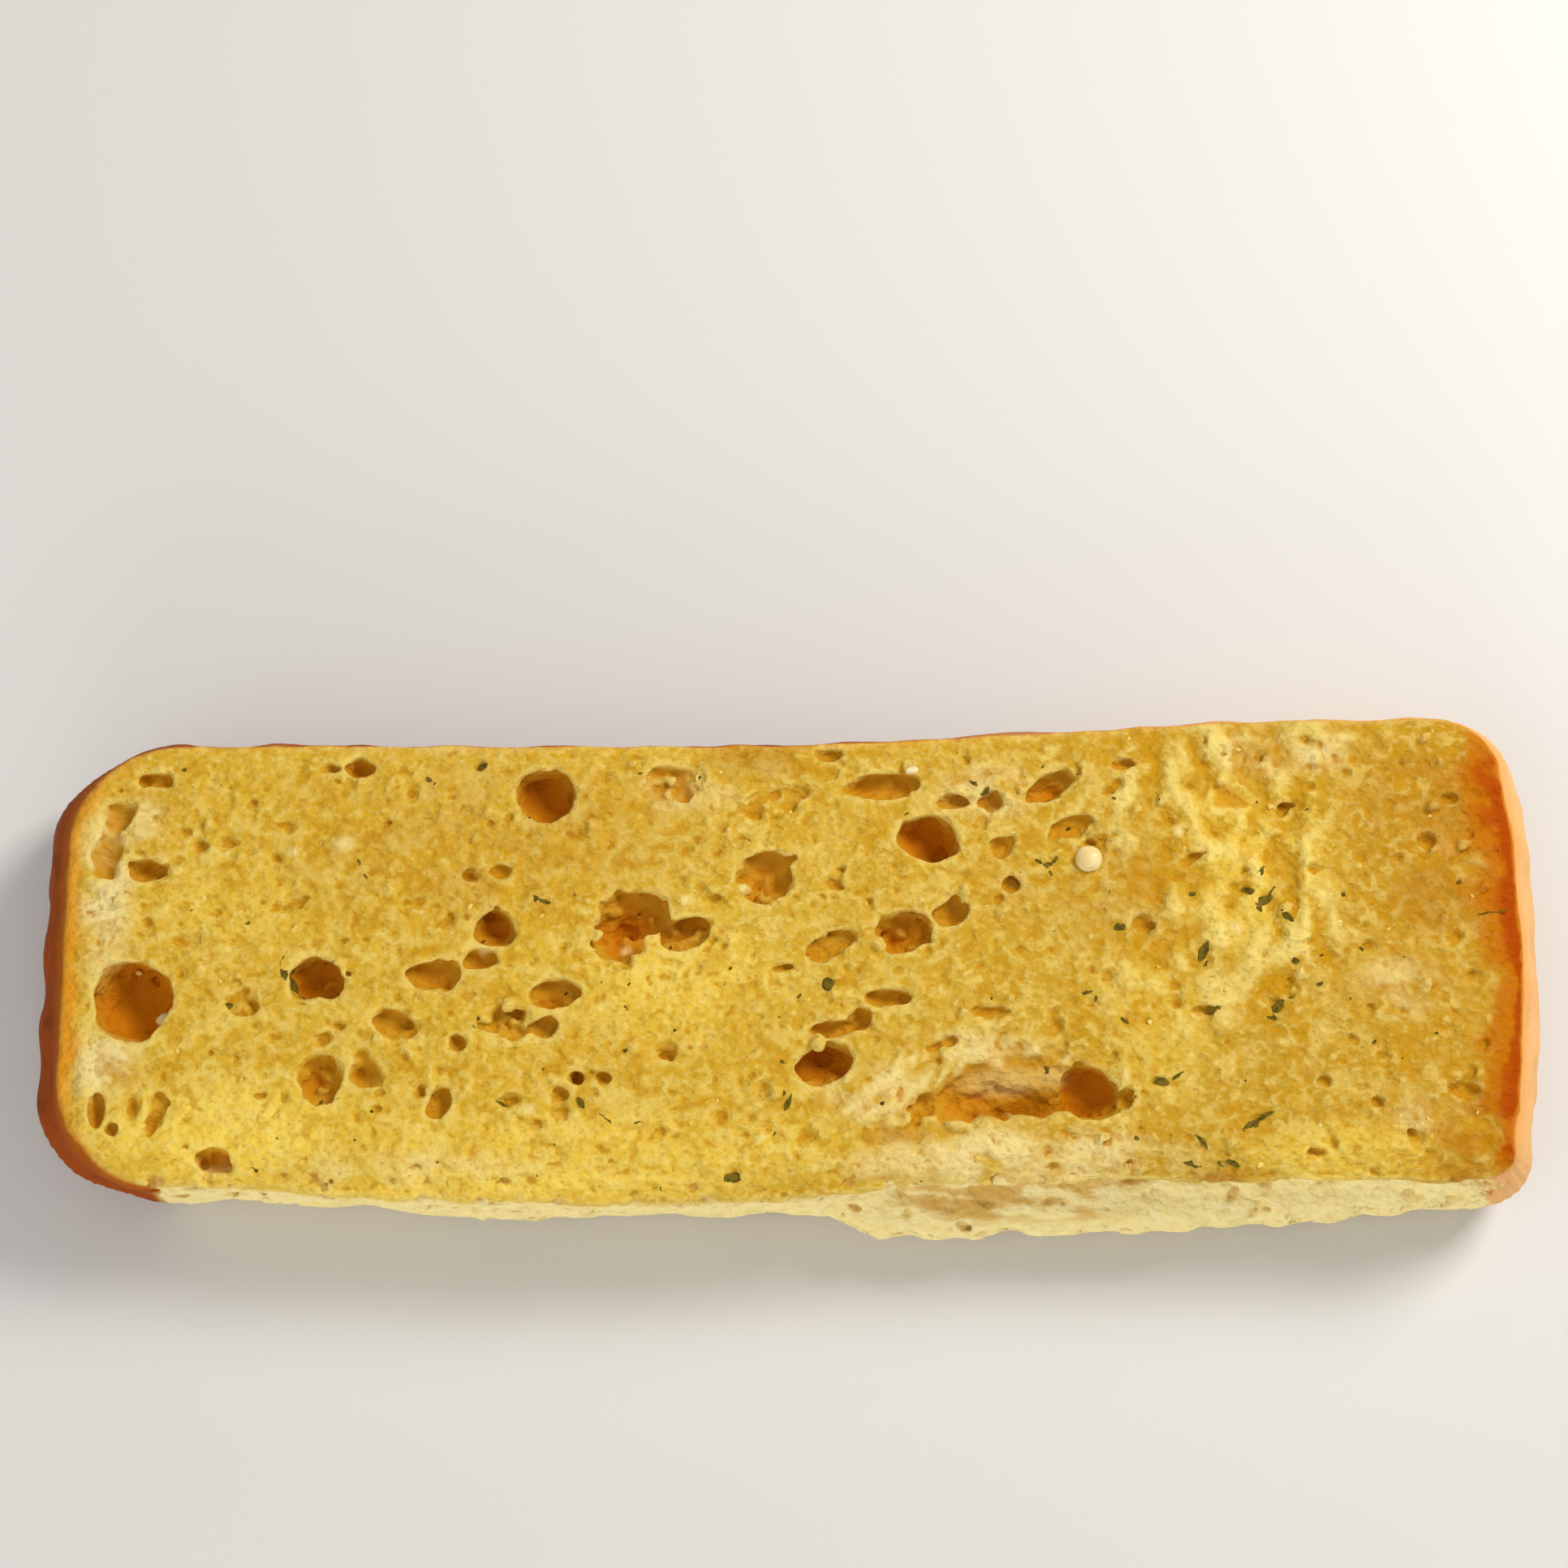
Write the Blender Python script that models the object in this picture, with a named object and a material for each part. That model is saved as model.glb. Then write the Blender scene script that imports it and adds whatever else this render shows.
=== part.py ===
"""Garlic bread: the bottom half of a soft loaf, split lengthwise and lying cut face up.

It is one solid, made the way the food is. A loaf is lofted from rings, a knife takes its top
off along a slightly wavy cut, the bubbles and the torn hollow of the crumb are cut into that
face, and the herb flakes, crumbs and garlic that lie on it are fused on.
Metres, +Z up. The origin is under the middle of the flat base, +X runs along the loaf, and -Y
is the side where the loaf was torn from its neighbour.
"""

import math
import random

import bmesh
import bpy
from mathutils import Matrix, Vector, noise

MM = 0.001

# The cut face, seen from above.
HALF_LENGTH = 128.5 * MM  # from the middle to the rim at either end
HALF_WIDTH = 40.0 * MM  # before the long sides are bowed
BACK_EDGE = 39.2 * MM  # the crusted long side, at the narrow left end
BACK_STEP = 5.0 * MM  # how much further back that side lies at the right end
FRONT_EDGE = 38.0 * MM  # the torn long side
FRONT_BELLY = 3.8 * MM  # where the torn side swells, left of the middle
BELLY_AT = -35.0 * MM
BELLY_SPREAD = 55.0 * MM
END_SAG = (0.0 * MM, 5.5 * MM)  # how far the corners of the left and right end lie back
CORNER_RADII = (8.0 * MM, 18.0 * MM, 18.0 * MM, 5.0 * MM)  # back right, back left, front left, front right

# The loaf's side, from the base up.
THICKNESS = 28.0 * MM
BASE_RADIUS = 8.0 * MM  # the round edge between the base and the side
END_BULGE = (7.8 * MM, 5.4 * MM)  # how far the left and right crust stand out past the rim of the cut face
BACK_BULGE = 2.5 * MM
FRONT_BULGE = 1.2 * MM
BLISTER = 1.1 * MM  # unevenness of the crust
BLISTER_SIZE = 9.0 * MM
LEDGE = 6.0 * MM  # the torn lip that stands out low on the front side
LEDGE_FROM, LEDGE_TO = 10.0 * MM, 122.0 * MM
LEDGE_TOP = 17.0 * MM
GROOVE = 2.2 * MM  # the hollow between that lip and the cut face

# The knife's cut.
WAVE = 0.7 * MM
WAVE_SIZE = 45.0 * MM
EDGE_ROLL = 0.7 * MM  # the face dips this much at its edge
FRONT_ROLL = 2.4 * MM  # and this much at the torn side
ROLL_WIDTH = 7.0 * MM

RING_POINTS = 108
RING_HEIGHTS = [0.0, 0.7, 2.2, 4.5, 7.5, 11.0, 14.0, 17.0, 20.0, 23.5, 33.0]  # millimetres
KNIFE_STEP = 5.2 * MM
BREAD_TRIANGLES = 10200

# Bubbles that show in the cut face, in millimetres and degrees:
# (x, y, length, width, depth, turn)
BUBBLES = [
    # by the left crust
    (-116.5, -6.3, 15.4, 14.2, 9.0, -10),
    (-114.8, 33.1, 6.7, 2.7, 2.0, -5),
    (-121.4, 26.4, 4.9, 5.0, 2.6, 0),
    (-122.9, 19.8, 5.2, 8.0, 2.6, 0),
    (-116.0, 17.1, 6.6, 3.6, 3.6, -10),
    (-122.6, -26.0, 2.8, 6.4, 3.0, 0),
    (-116.5, -25.3, 2.2, 4.8, 1.6, 0),
    (-112.2, -25.4, 2.6, 4.6, 1.6, 0),
    (-102.6, -34.6, 5.9, 4.2, 3.0, 0),
    # left of the middle
    (-97.4, -7.4, 5.4, 3.5, 2.0, -10),
    (-85.2, -2.9, 10.3, 7.8, 6.0, -5),
    (-83.9, -20.1, 7.7, 7.7, 4.4, 20),
    (-75.8, -19.7, 5.4, 5.4, 3.0, 0),
    (-71.1, -11.0, 8.6, 4.6, 3.0, -15),
    (-78.4, 35.4, 5.2, 3.0, 3.4, 0),
    (-64.3, -2.1, 8.3, 5.5, 4.0, 0),
    (-62.8, -24.5, 3.7, 6.0, 3.0, -20),
    (-54.0, 6.3, 6.6, 6.7, 5.0, 0),
    (-56.1, 1.0, 5.2, 3.2, 3.0, 0),
    (-51.6, -10.2, 9.1, 5.2, 2.4, 0),
    (-45.1, 30.4, 10.4, 9.2, 7.6, 0),
    (-44.4, -11.1, 4.0, 3.7, 2.6, 0),
    (-42.8, -5.6, 8.0, 4.9, 4.0, 10),
    (-29.8, 7.3, 13.2, 10.6, 5.6, 20),
    (-20.1, 5.6, 9.2, 5.5, 4.4, 10),
    (-23.4, 32.5, 10.4, 6.0, 2.4, 0),
    # the middle
    (-5.8, 15.4, 10.1, 8.2, 4.4, 15),
    (-4.8, 28.9, 11.6, 5.1, 1.8, 10),
    (5.8, 3.4, 8.6, 3.5, 2.2, 25),
    (14.8, 32.1, 12.5, 4.5, 3.6, 8),
    (23.2, 22.4, 10.1, 9.2, 7.6, 0),
    (28.2, 29.2, 5.8, 3.0, 2.6, 0),
    (34.6, 29.4, 3.8, 3.0, 3.0, 0),
    (45.3, 32.2, 8.4, 3.9, 3.6, 30),
    (48.1, 24.5, 8.4, 3.3, 2.0, 25),
    (36.2, 21.1, 4.3, 3.8, 2.0, 30),
    (18.9, 5.6, 9.5, 7.0, 5.0, 0),
    (27.1, 8.9, 6.3, 4.1, 3.0, 30),
    (15.5, -6.1, 8.0, 2.9, 3.0, 0),
    (10.8, -9.9, 4.3, 3.5, 2.6, 50),
    (6.3, -11.5, 8.8, 2.9, 3.0, 10),
    (4.9, -17.8, 10.0, 6.6, 7.0, 10),
    # towards the right crust
    (58.4, 36.2, 4.4, 2.1, 2.0, 0),
    (77.8, 30.0, 8.7, 3.6, 1.2, 0),
    (116.6, -22.3, 5.1, 2.9, 2.0, 0),
    (118.0, -30.5, 9.9, 7.7, 2.2, 0),
]

# The torn hollow in front of the middle, as bubbles that ran together: its long slope in two
# steps, the channel under its front lip, its deep right end, and the groove that leads into it.
HOLLOW = [
    (38.0, -20.5, 33.0, 11.5, 2.6, 2),
    (39.5, -22.8, 31.0, 8.0, 4.2, 2),
    (41.0, -24.4, 29.0, 5.2, 5.8, 1),
    (50.6, -22.2, 10.2, 9.4, 7.6, 0),
    (18.5, -30.2, 24.0, 3.2, 1.8, 8),
]

SMALL_BUBBLES = 46
SMALL_LENGTH = (2.2, 4.0)  # millimetres
SMALL_SEED = 14
EDGE_CLEAR = 4.0 * MM  # the crust's rim holds no small bubbles

# Herb flakes that lie on the face: (x, y, length, turn), in millimetres and degrees.
FLAKES = [
    (-91.6, -1.2, 4.2, 70),
    (-47.2, 11.3, 5.0, 5),
    (5.2, -3.6, 3.0, 75),
    (44.4, 17.9, 4.0, 10),
    (51.2, -5.5, 4.4, 15),
    (56.9, 6.6, 3.0, 10),
    (64.8, -20.6, 4.8, -5),
    (71.8, 1.6, 4.4, 68),
    (82.0, 12.2, 5.4, -20),
    (85.4, 9.4, 4.2, -45),
    (84.8, -7.4, 4.4, 45),
    (80.2, -27.7, 5.0, 28),
    (71.8, -33.0, 5.4, -50),
    (74.4, -36.0, 4.0, -20),
    (122.2, 9.2, 5.4, 8),
    (-11.1, -38.2, 3.6, 5),
]
FLAKE_WIDTH = 1.3 * MM
FLAKE_HEIGHT = 0.7 * MM
FLAKE_SIDES = 8

# Garlic and butter lumps on the face: (x, y, diameter), in millimetres.
LUMPS = [
    (51.7, 18.9, 4.8),
    (-80.6, 21.5, 3.6),
    (-89.9, 20.1, 2.6),
    (-19.9, 11.2, 2.8),
    (68.0, 24.2, 3.0),
    (77.6, 6.4, 3.0),
]


def smooth(low, high, value):
    """0 below low, 1 above high, and an S-curve between."""
    share = min(max((value - low) / (high - low), 0.0), 1.0)
    return share * share * (3.0 - 2.0 * share)


def back_edge(x):
    return BACK_EDGE + BACK_STEP * smooth(-20.0 * MM, 110.0 * MM, x)


def front_edge(x):
    return -FRONT_EDGE - FRONT_BELLY * math.exp(-(((x - BELLY_AT) / BELLY_SPREAD) ** 2))


def rounded_rectangle(half_x, half_y, radii, count):
    """Points round a rectangle with four corner radii, evenly spaced, anticlockwise from the right end."""
    signs = ((1, 1), (-1, 1), (-1, -1), (1, -1))
    path = []
    for quarter, ((sx, sy), radius) in enumerate(zip(signs, radii, strict=True)):
        centre = Vector((sx * (half_x - radius), sy * (half_y - radius)))
        for step in range(13):
            angle = math.radians(90.0 * quarter + 7.5 * step)
            path.append(centre + radius * Vector((math.cos(angle), math.sin(angle))))
    path.append(path[0])
    lengths = [(b - a).length for a, b in zip(path, path[1:])]
    points, reached, edge = [], 0.0, 0
    for index in range(count):
        wanted = sum(lengths) * index / count
        while reached + lengths[edge] < wanted:
            reached += lengths[edge]
            edge += 1
        points.append(path[edge].lerp(path[edge + 1], (wanted - reached) / lengths[edge]))
    return points


def cut_outline(count):
    """The rim of the cut face: a rounded rectangle whose long sides and ends are bowed."""
    points = []
    for x, y in rounded_rectangle(HALF_LENGTH, HALF_WIDTH, CORNER_RADII, count):
        share = y / HALF_WIDTH
        middle = (back_edge(x) + front_edge(x)) / 2
        half = (back_edge(x) - front_edge(x)) / 2
        sag = END_SAG[x > 0] * share * share * abs(x) / HALF_LENGTH
        points.append(Vector((x - math.copysign(sag, x), middle + half * share)))
    return points


def ledge_at(x, z):
    """How far the torn lip stands out of the front side: ragged along X, with a groove above it."""
    along = smooth(LEDGE_FROM - 6.0 * MM, LEDGE_FROM + 4.0 * MM, x) * (1.0 - 0.6 * smooth(66.0 * MM, LEDGE_TO, x))
    ragged = 1.0 + 0.28 * noise.noise(Vector((x / (7.0 * MM), 3.0, 0.0)))
    lip = 1.0 - smooth(LEDGE_TOP - 4.0 * MM, LEDGE_TOP + 2.0 * MM, z)
    groove = math.exp(-(((z - LEDGE_TOP - 4.0 * MM) / (3.0 * MM)) ** 2))
    return along * (LEDGE * ragged * lip - GROOVE * groove)


def side_offset(point, normal, z):
    """How far the loaf's side at height z stands out of the rim of the cut face, at this point of the rim."""
    rise = min(z / THICKNESS, 1.0)
    swell = math.sin(math.pi * rise**0.75) ** 0.8 if rise < 1.0 else 0.0
    to_end, to_back, to_front = normal.x**2, max(normal.y, 0.0) ** 2, max(-normal.y, 0.0) ** 2
    bulge = END_BULGE[normal.x > 0] * to_end + BACK_BULGE * to_back + FRONT_BULGE * to_front
    tuck = BASE_RADIUS - math.sqrt(BASE_RADIUS**2 - max(BASE_RADIUS - z, 0.0) ** 2)
    blister = BLISTER * noise.noise(Vector((point.x, point.y, z)) / BLISTER_SIZE) * smooth(0.0, 4.0 * MM, z)
    blister *= 1.0 - smooth(THICKNESS - 6.0 * MM, THICKNESS, z)
    return bulge * swell - tuck + blister + to_front * ledge_at(point.x, z)


def loaf(crust):
    """The whole loaf, up past the height of the cut: rings round the outline, closed by two flat faces."""
    outline = cut_outline(RING_POINTS)
    mesh = bmesh.new()
    rings = []
    for height in RING_HEIGHTS:
        ring = []
        for index, point in enumerate(outline):
            along = outline[(index + 1) % RING_POINTS] - outline[index - 1]
            normal = Vector((along.y, -along.x)).normalized()
            out = point + normal * side_offset(point, normal, height * MM)
            ring.append(mesh.verts.new((out.x, out.y, height * MM)))
        rings.append(ring)
    mesh.faces.new(reversed(rings[0]))
    mesh.faces.new(rings[-1])
    for low, high in zip(rings, rings[1:]):
        for index in range(RING_POINTS):
            after = (index + 1) % RING_POINTS
            mesh.faces.new((low[index], low[after], high[after], high[index]))
    return finished("garlic_bread", mesh, crust)


def edge_room(x, y):
    """Distance from a point of the cut face to its nearest edge, and to its torn front edge."""
    ends = HALF_LENGTH - END_SAG[x > 0] * (y / HALF_WIDTH) ** 2 - abs(x)
    to_front = y - front_edge(x)
    return min(ends, back_edge(x) - y, to_front), to_front


def cut_height(x, y):
    """Height of the knife's cut: long waves, two creases where the blade turned, and rolled edges."""
    height = THICKNESS + WAVE * noise.noise(Vector((x, y, 0.0)) / WAVE_SIZE)
    drag = (y - 9.0 * MM) - 0.42 * x  # distance from the line where the blade dragged
    height += 0.8 * MM * math.exp(-((drag / (5.0 * MM)) ** 2)) * (1.0 - smooth(30.0 * MM, 75.0 * MM, abs(x)))
    fold = x - 88.0 * MM - 0.14 * y
    height += 0.9 * MM * math.exp(-((fold / (4.0 * MM)) ** 2)) * smooth(-20.0 * MM, 15.0 * MM, y)
    room, to_front = edge_room(x, y)
    height -= EDGE_ROLL * (1.0 - smooth(0.0, ROLL_WIDTH / 2, room))
    return height - FRONT_ROLL * (1.0 - smooth(0.0, ROLL_WIDTH, to_front))


def knife(crumb):
    """A block whose underside is the cut: all of the loaf that it covers comes off."""
    half_x, half_y, top = 150.0 * MM, 60.0 * MM, 60.0 * MM
    mesh = bmesh.new()
    across, along = round(2 * half_y / KNIFE_STEP), round(2 * half_x / KNIFE_STEP)
    bmesh.ops.create_grid(mesh, x_segments=along, y_segments=across, size=1.0)
    for vert in mesh.verts:
        x, y = vert.co.x * half_x, vert.co.y * half_y
        vert.co = Vector((x, y, cut_height(x, y)))
    lifted = bmesh.ops.extrude_face_region(mesh, geom=mesh.faces[:])["geom"]
    for vert in (part for part in lifted if isinstance(part, bmesh.types.BMVert)):
        vert.co.z = top
    bmesh.ops.recalc_face_normals(mesh, faces=mesh.faces)
    cutter = finished("knife", mesh, crumb)
    hide(cutter)
    return cutter


def bubble(name, crumb, x, y, length, width, depth, turn):
    """One bubble of the crumb: an uneven ellipsoid, sunk so that its mouth has the given length and width."""
    sunk = 0.22 * depth
    deep = depth - sunk
    mouth = math.sqrt(1.0 - (sunk / deep) ** 2)  # the mouth's share of the ellipsoid's full width
    uneven = 0.34 - 0.26 * min(depth / width, 0.8)  # deep bubbles are rounder than shallow ones
    mesh = bmesh.new()
    around, down = round(6.5 + 0.55 * length), round(4.0 + 0.25 * length)
    bmesh.ops.create_uvsphere(mesh, u_segments=around, v_segments=down, radius=1.0)
    for vert in mesh.verts:
        vert.co *= 1.0 + uneven * noise.noise(vert.co * 1.4 + Vector((x, y, depth)))
    size = Matrix.Diagonal((length / 2 / mouth * MM, width / 2 / mouth * MM, deep * MM, 1.0))
    bmesh.ops.transform(mesh, matrix=Matrix.Rotation(math.radians(turn), 4, "Z") @ size, verts=mesh.verts)
    cutter = finished(name, mesh, crumb)
    cutter.location = (x * MM, y * MM, cut_height(x * MM, y * MM) - sunk * MM)
    hide(cutter)
    return cutter


def small_bubbles():
    """Sizes and places of the small bubbles: scattered evenly, clear of the listed ones and of the rim."""
    draw = random.Random(SMALL_SEED)
    taken = [(x, y, max(length, width) / 2) for x, y, length, width, _, _ in BUBBLES + HOLLOW]
    taken += [(x, y, length / 2) for x, y, length, _ in FLAKES]
    taken += [(x, y, diameter / 2) for x, y, diameter in LUMPS]
    found = []
    while len(found) < SMALL_BUBBLES:
        x = draw.uniform(-HALF_LENGTH, HALF_LENGTH) / MM
        y = draw.uniform(-FRONT_EDGE, BACK_EDGE) / MM
        length = draw.uniform(*SMALL_LENGTH)
        width = length * draw.uniform(0.5, 0.95)
        turn = draw.gauss(12.0, 25.0)
        if edge_room(x * MM, y * MM)[0] < EDGE_CLEAR:
            continue
        if any(math.hypot(x - a, y - b) < reach + length / 2 + 1.0 for a, b, reach in taken):
            continue
        taken.append((x, y, length / 2))
        found.append((x, y, length, width, 0.6 * width, turn))
    return found


def flake(name, herb, x, y, length, turn):
    """A herb flake: a thin pointed leaf, bent over its length and half sunk in the butter."""
    mesh = bmesh.new()
    bmesh.ops.create_cone(
        mesh, cap_ends=True, segments=FLAKE_SIDES, radius1=0.5, radius2=0.36, depth=1.0
    )
    for vert in mesh.verts:
        bend = 0.5 * vert.co.x**2
        point = 1.0 - 0.55 * (2.0 * vert.co.x) ** 2
        vert.co.x *= length * MM
        vert.co.y *= FLAKE_WIDTH * max(point, 0.35)
        vert.co.z = FLAKE_HEIGHT * (vert.co.z - bend)
    piece = finished(name, mesh, herb)
    piece.location = (x * MM, y * MM, cut_height(x * MM, y * MM) + 0.15 * FLAKE_HEIGHT)
    piece.rotation_euler.z = math.radians(turn)
    return piece


def lump(name, garlic, x, y, diameter):
    """A lump of garlic or butter, sunk by a third."""
    mesh = bmesh.new()
    bmesh.ops.create_icosphere(mesh, subdivisions=2, radius=diameter / 2 * MM)
    for vert in mesh.verts:
        vert.co *= 1.0 + 0.12 * noise.noise(vert.co / (1.6 * MM) + Vector((x, y, 0.0)))
    piece = finished(name, mesh, garlic)
    piece.location = (x * MM, y * MM, cut_height(x * MM, y * MM) + 0.16 * diameter * MM)
    return piece


def material(name, colour, roughness):
    made = bpy.data.materials.new(name)
    made.use_nodes = True
    shader = made.node_tree.nodes["Principled BSDF"]
    shader.inputs["Base Color"].default_value = (*colour, 1.0)
    shader.inputs["Roughness"].default_value = roughness
    shader.inputs["Metallic"].default_value = 0.0
    made.diffuse_color = (*colour, 1.0)
    return made


def finished(name, mesh, finish):
    """The bmesh as a smooth-shaded object of that name and material, in the scene."""
    bmesh.ops.triangulate(mesh, faces=mesh.faces)
    data = bpy.data.meshes.new(name)
    mesh.to_mesh(data)
    mesh.free()
    data.materials.append(finish)
    data.shade_smooth()
    made = bpy.data.objects.new(name, data)
    bpy.context.scene.collection.objects.link(made)
    return made


def hide(cutter):
    cutter.hide_render = True
    cutter.display_type = "WIRE"


def gathered(name, objects):
    """The objects moved into a collection of their own, which a Boolean can name."""
    group = bpy.data.collections.new(name)
    bpy.context.scene.collection.children.link(group)
    for member in objects:
        bpy.context.scene.collection.objects.unlink(member)
        group.objects.link(member)
    return group


def boolean(target, operation, cutter):
    """Cuts or joins one object, or a collection's objects, and applies it. The cut faces keep the cutter's material."""
    change = target.modifiers.new(operation.title(), "BOOLEAN")
    change.operation = operation
    change.solver = "EXACT"
    change.material_mode = "TRANSFER"
    if isinstance(cutter, bpy.types.Collection):
        change.operand_type = "COLLECTION"
        change.collection = cutter
    else:
        change.object = cutter
    with bpy.context.temp_override(object=target, active_object=target, selected_objects=[target]):
        bpy.ops.object.modifier_apply(modifier=change.name)


def simplify(target, triangles):
    """Collapses the shortest and flattest edges, such as the slivers along a Boolean's seams."""
    change = target.modifiers.new("Simplify", "DECIMATE")
    change.ratio = triangles / sum(len(face.vertices) - 2 for face in target.data.polygons)
    with bpy.context.temp_override(object=target, active_object=target, selected_objects=[target]):
        bpy.ops.object.modifier_apply(modifier=change.name)


def stand_on_origin(target):
    """Moves the mesh so that its box stands on the origin by the middle of its base."""
    corners = [Vector(corner) for corner in target.bound_box]
    low = Vector(map(min, zip(*corners)))
    high = Vector(map(max, zip(*corners)))
    middle = (low + high) / 2
    target.data.transform(Matrix.Translation((-middle.x, -middle.y, -low.z)))


def main():
    for old in list(bpy.data.objects):
        bpy.data.objects.remove(old)

    crust = material("baked_crust", (0.72, 0.36, 0.12), 0.55)
    crumb = material("buttered_crumb", (0.72, 0.46, 0.07), 0.6)
    herb = material("parsley", (0.12, 0.13, 0.03), 0.7)
    garlic = material("garlic", (0.84, 0.74, 0.45), 0.4)

    bread = loaf(crust)
    cut = knife(crumb)
    boolean(bread, "DIFFERENCE", cut)
    bpy.data.objects.remove(cut)

    holes = [
        bubble(f"bubble_{index}", crumb, *sizes)
        for index, sizes in enumerate(BUBBLES + HOLLOW + small_bubbles())
    ]
    bubbles = gathered("bubbles", holes)
    boolean(bread, "DIFFERENCE", bubbles)
    simplify(bread, BREAD_TRIANGLES)

    pieces = [flake(f"flake_{index}", herb, *sizes) for index, sizes in enumerate(FLAKES)]
    pieces += [lump(f"lump_{index}", garlic, *sizes) for index, sizes in enumerate(LUMPS)]
    toppings = gathered("toppings", pieces)
    boolean(bread, "UNION", toppings)

    for group in (bubbles, toppings):
        for helper in list(group.objects):
            bpy.data.objects.remove(helper)
        bpy.data.collections.remove(group)
    stand_on_origin(bread)
    bread.data.set_sharp_from_angle(angle=math.radians(50.0))


main()
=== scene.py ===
import math

import bmesh
import bpy
import numpy as np
from mathutils import Matrix, Vector, noise


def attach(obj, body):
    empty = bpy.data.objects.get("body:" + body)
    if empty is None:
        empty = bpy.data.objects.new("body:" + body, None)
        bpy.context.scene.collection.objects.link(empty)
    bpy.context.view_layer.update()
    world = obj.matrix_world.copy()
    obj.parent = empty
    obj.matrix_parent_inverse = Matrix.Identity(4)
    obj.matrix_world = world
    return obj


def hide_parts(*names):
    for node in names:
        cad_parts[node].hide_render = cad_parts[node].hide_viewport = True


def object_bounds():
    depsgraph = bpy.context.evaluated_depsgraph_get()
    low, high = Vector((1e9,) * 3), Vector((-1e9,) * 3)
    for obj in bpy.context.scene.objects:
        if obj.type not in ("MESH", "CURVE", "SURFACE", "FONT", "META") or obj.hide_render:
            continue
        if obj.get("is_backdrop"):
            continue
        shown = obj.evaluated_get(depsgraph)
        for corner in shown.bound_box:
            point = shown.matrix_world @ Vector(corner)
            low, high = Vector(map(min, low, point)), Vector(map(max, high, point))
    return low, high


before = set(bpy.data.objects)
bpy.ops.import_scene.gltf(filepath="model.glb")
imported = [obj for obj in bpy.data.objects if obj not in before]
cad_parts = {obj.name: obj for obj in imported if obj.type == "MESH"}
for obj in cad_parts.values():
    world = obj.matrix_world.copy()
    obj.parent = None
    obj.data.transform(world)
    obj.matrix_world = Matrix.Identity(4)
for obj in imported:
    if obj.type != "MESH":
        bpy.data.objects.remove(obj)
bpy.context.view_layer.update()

# --- The bread -----------------------------------------------------------------------------
# The bottom half of a soft wheat loaf, split with a knife and lying cut face up. Its crumb is
# open and uneven, soaked with garlic butter and toasted towards the right end; the ends and the
# back keep their baked crust, and the front was torn from the loaf beside it.

MM = 0.001
# From the middle of the cut face's own measures to the part's origin, mm.
SHIFT = np.array((1.335, -0.22, 0.0))

HALF_LENGTH = 128.5
HALF_WIDTH = 40.0
CORNER_RADII = (8.0, 18.0, 18.0, 5.0)
RIGHT_END_SAG = 1.7
RIGHT_END_BOW = 3.8
THICKNESS = 28.0
BASE_RADIUS = 8.0
RIGHT_BULGE = 7.0
LEFT_BULGE = 7.8
BACK_BULGE = 2.5
FRONT_BULGE = 1.2
LEDGE_REACH = 6.0
GROOVE_DEPTH = 2.2
GROOVE_HEIGHT = 21.0

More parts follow.
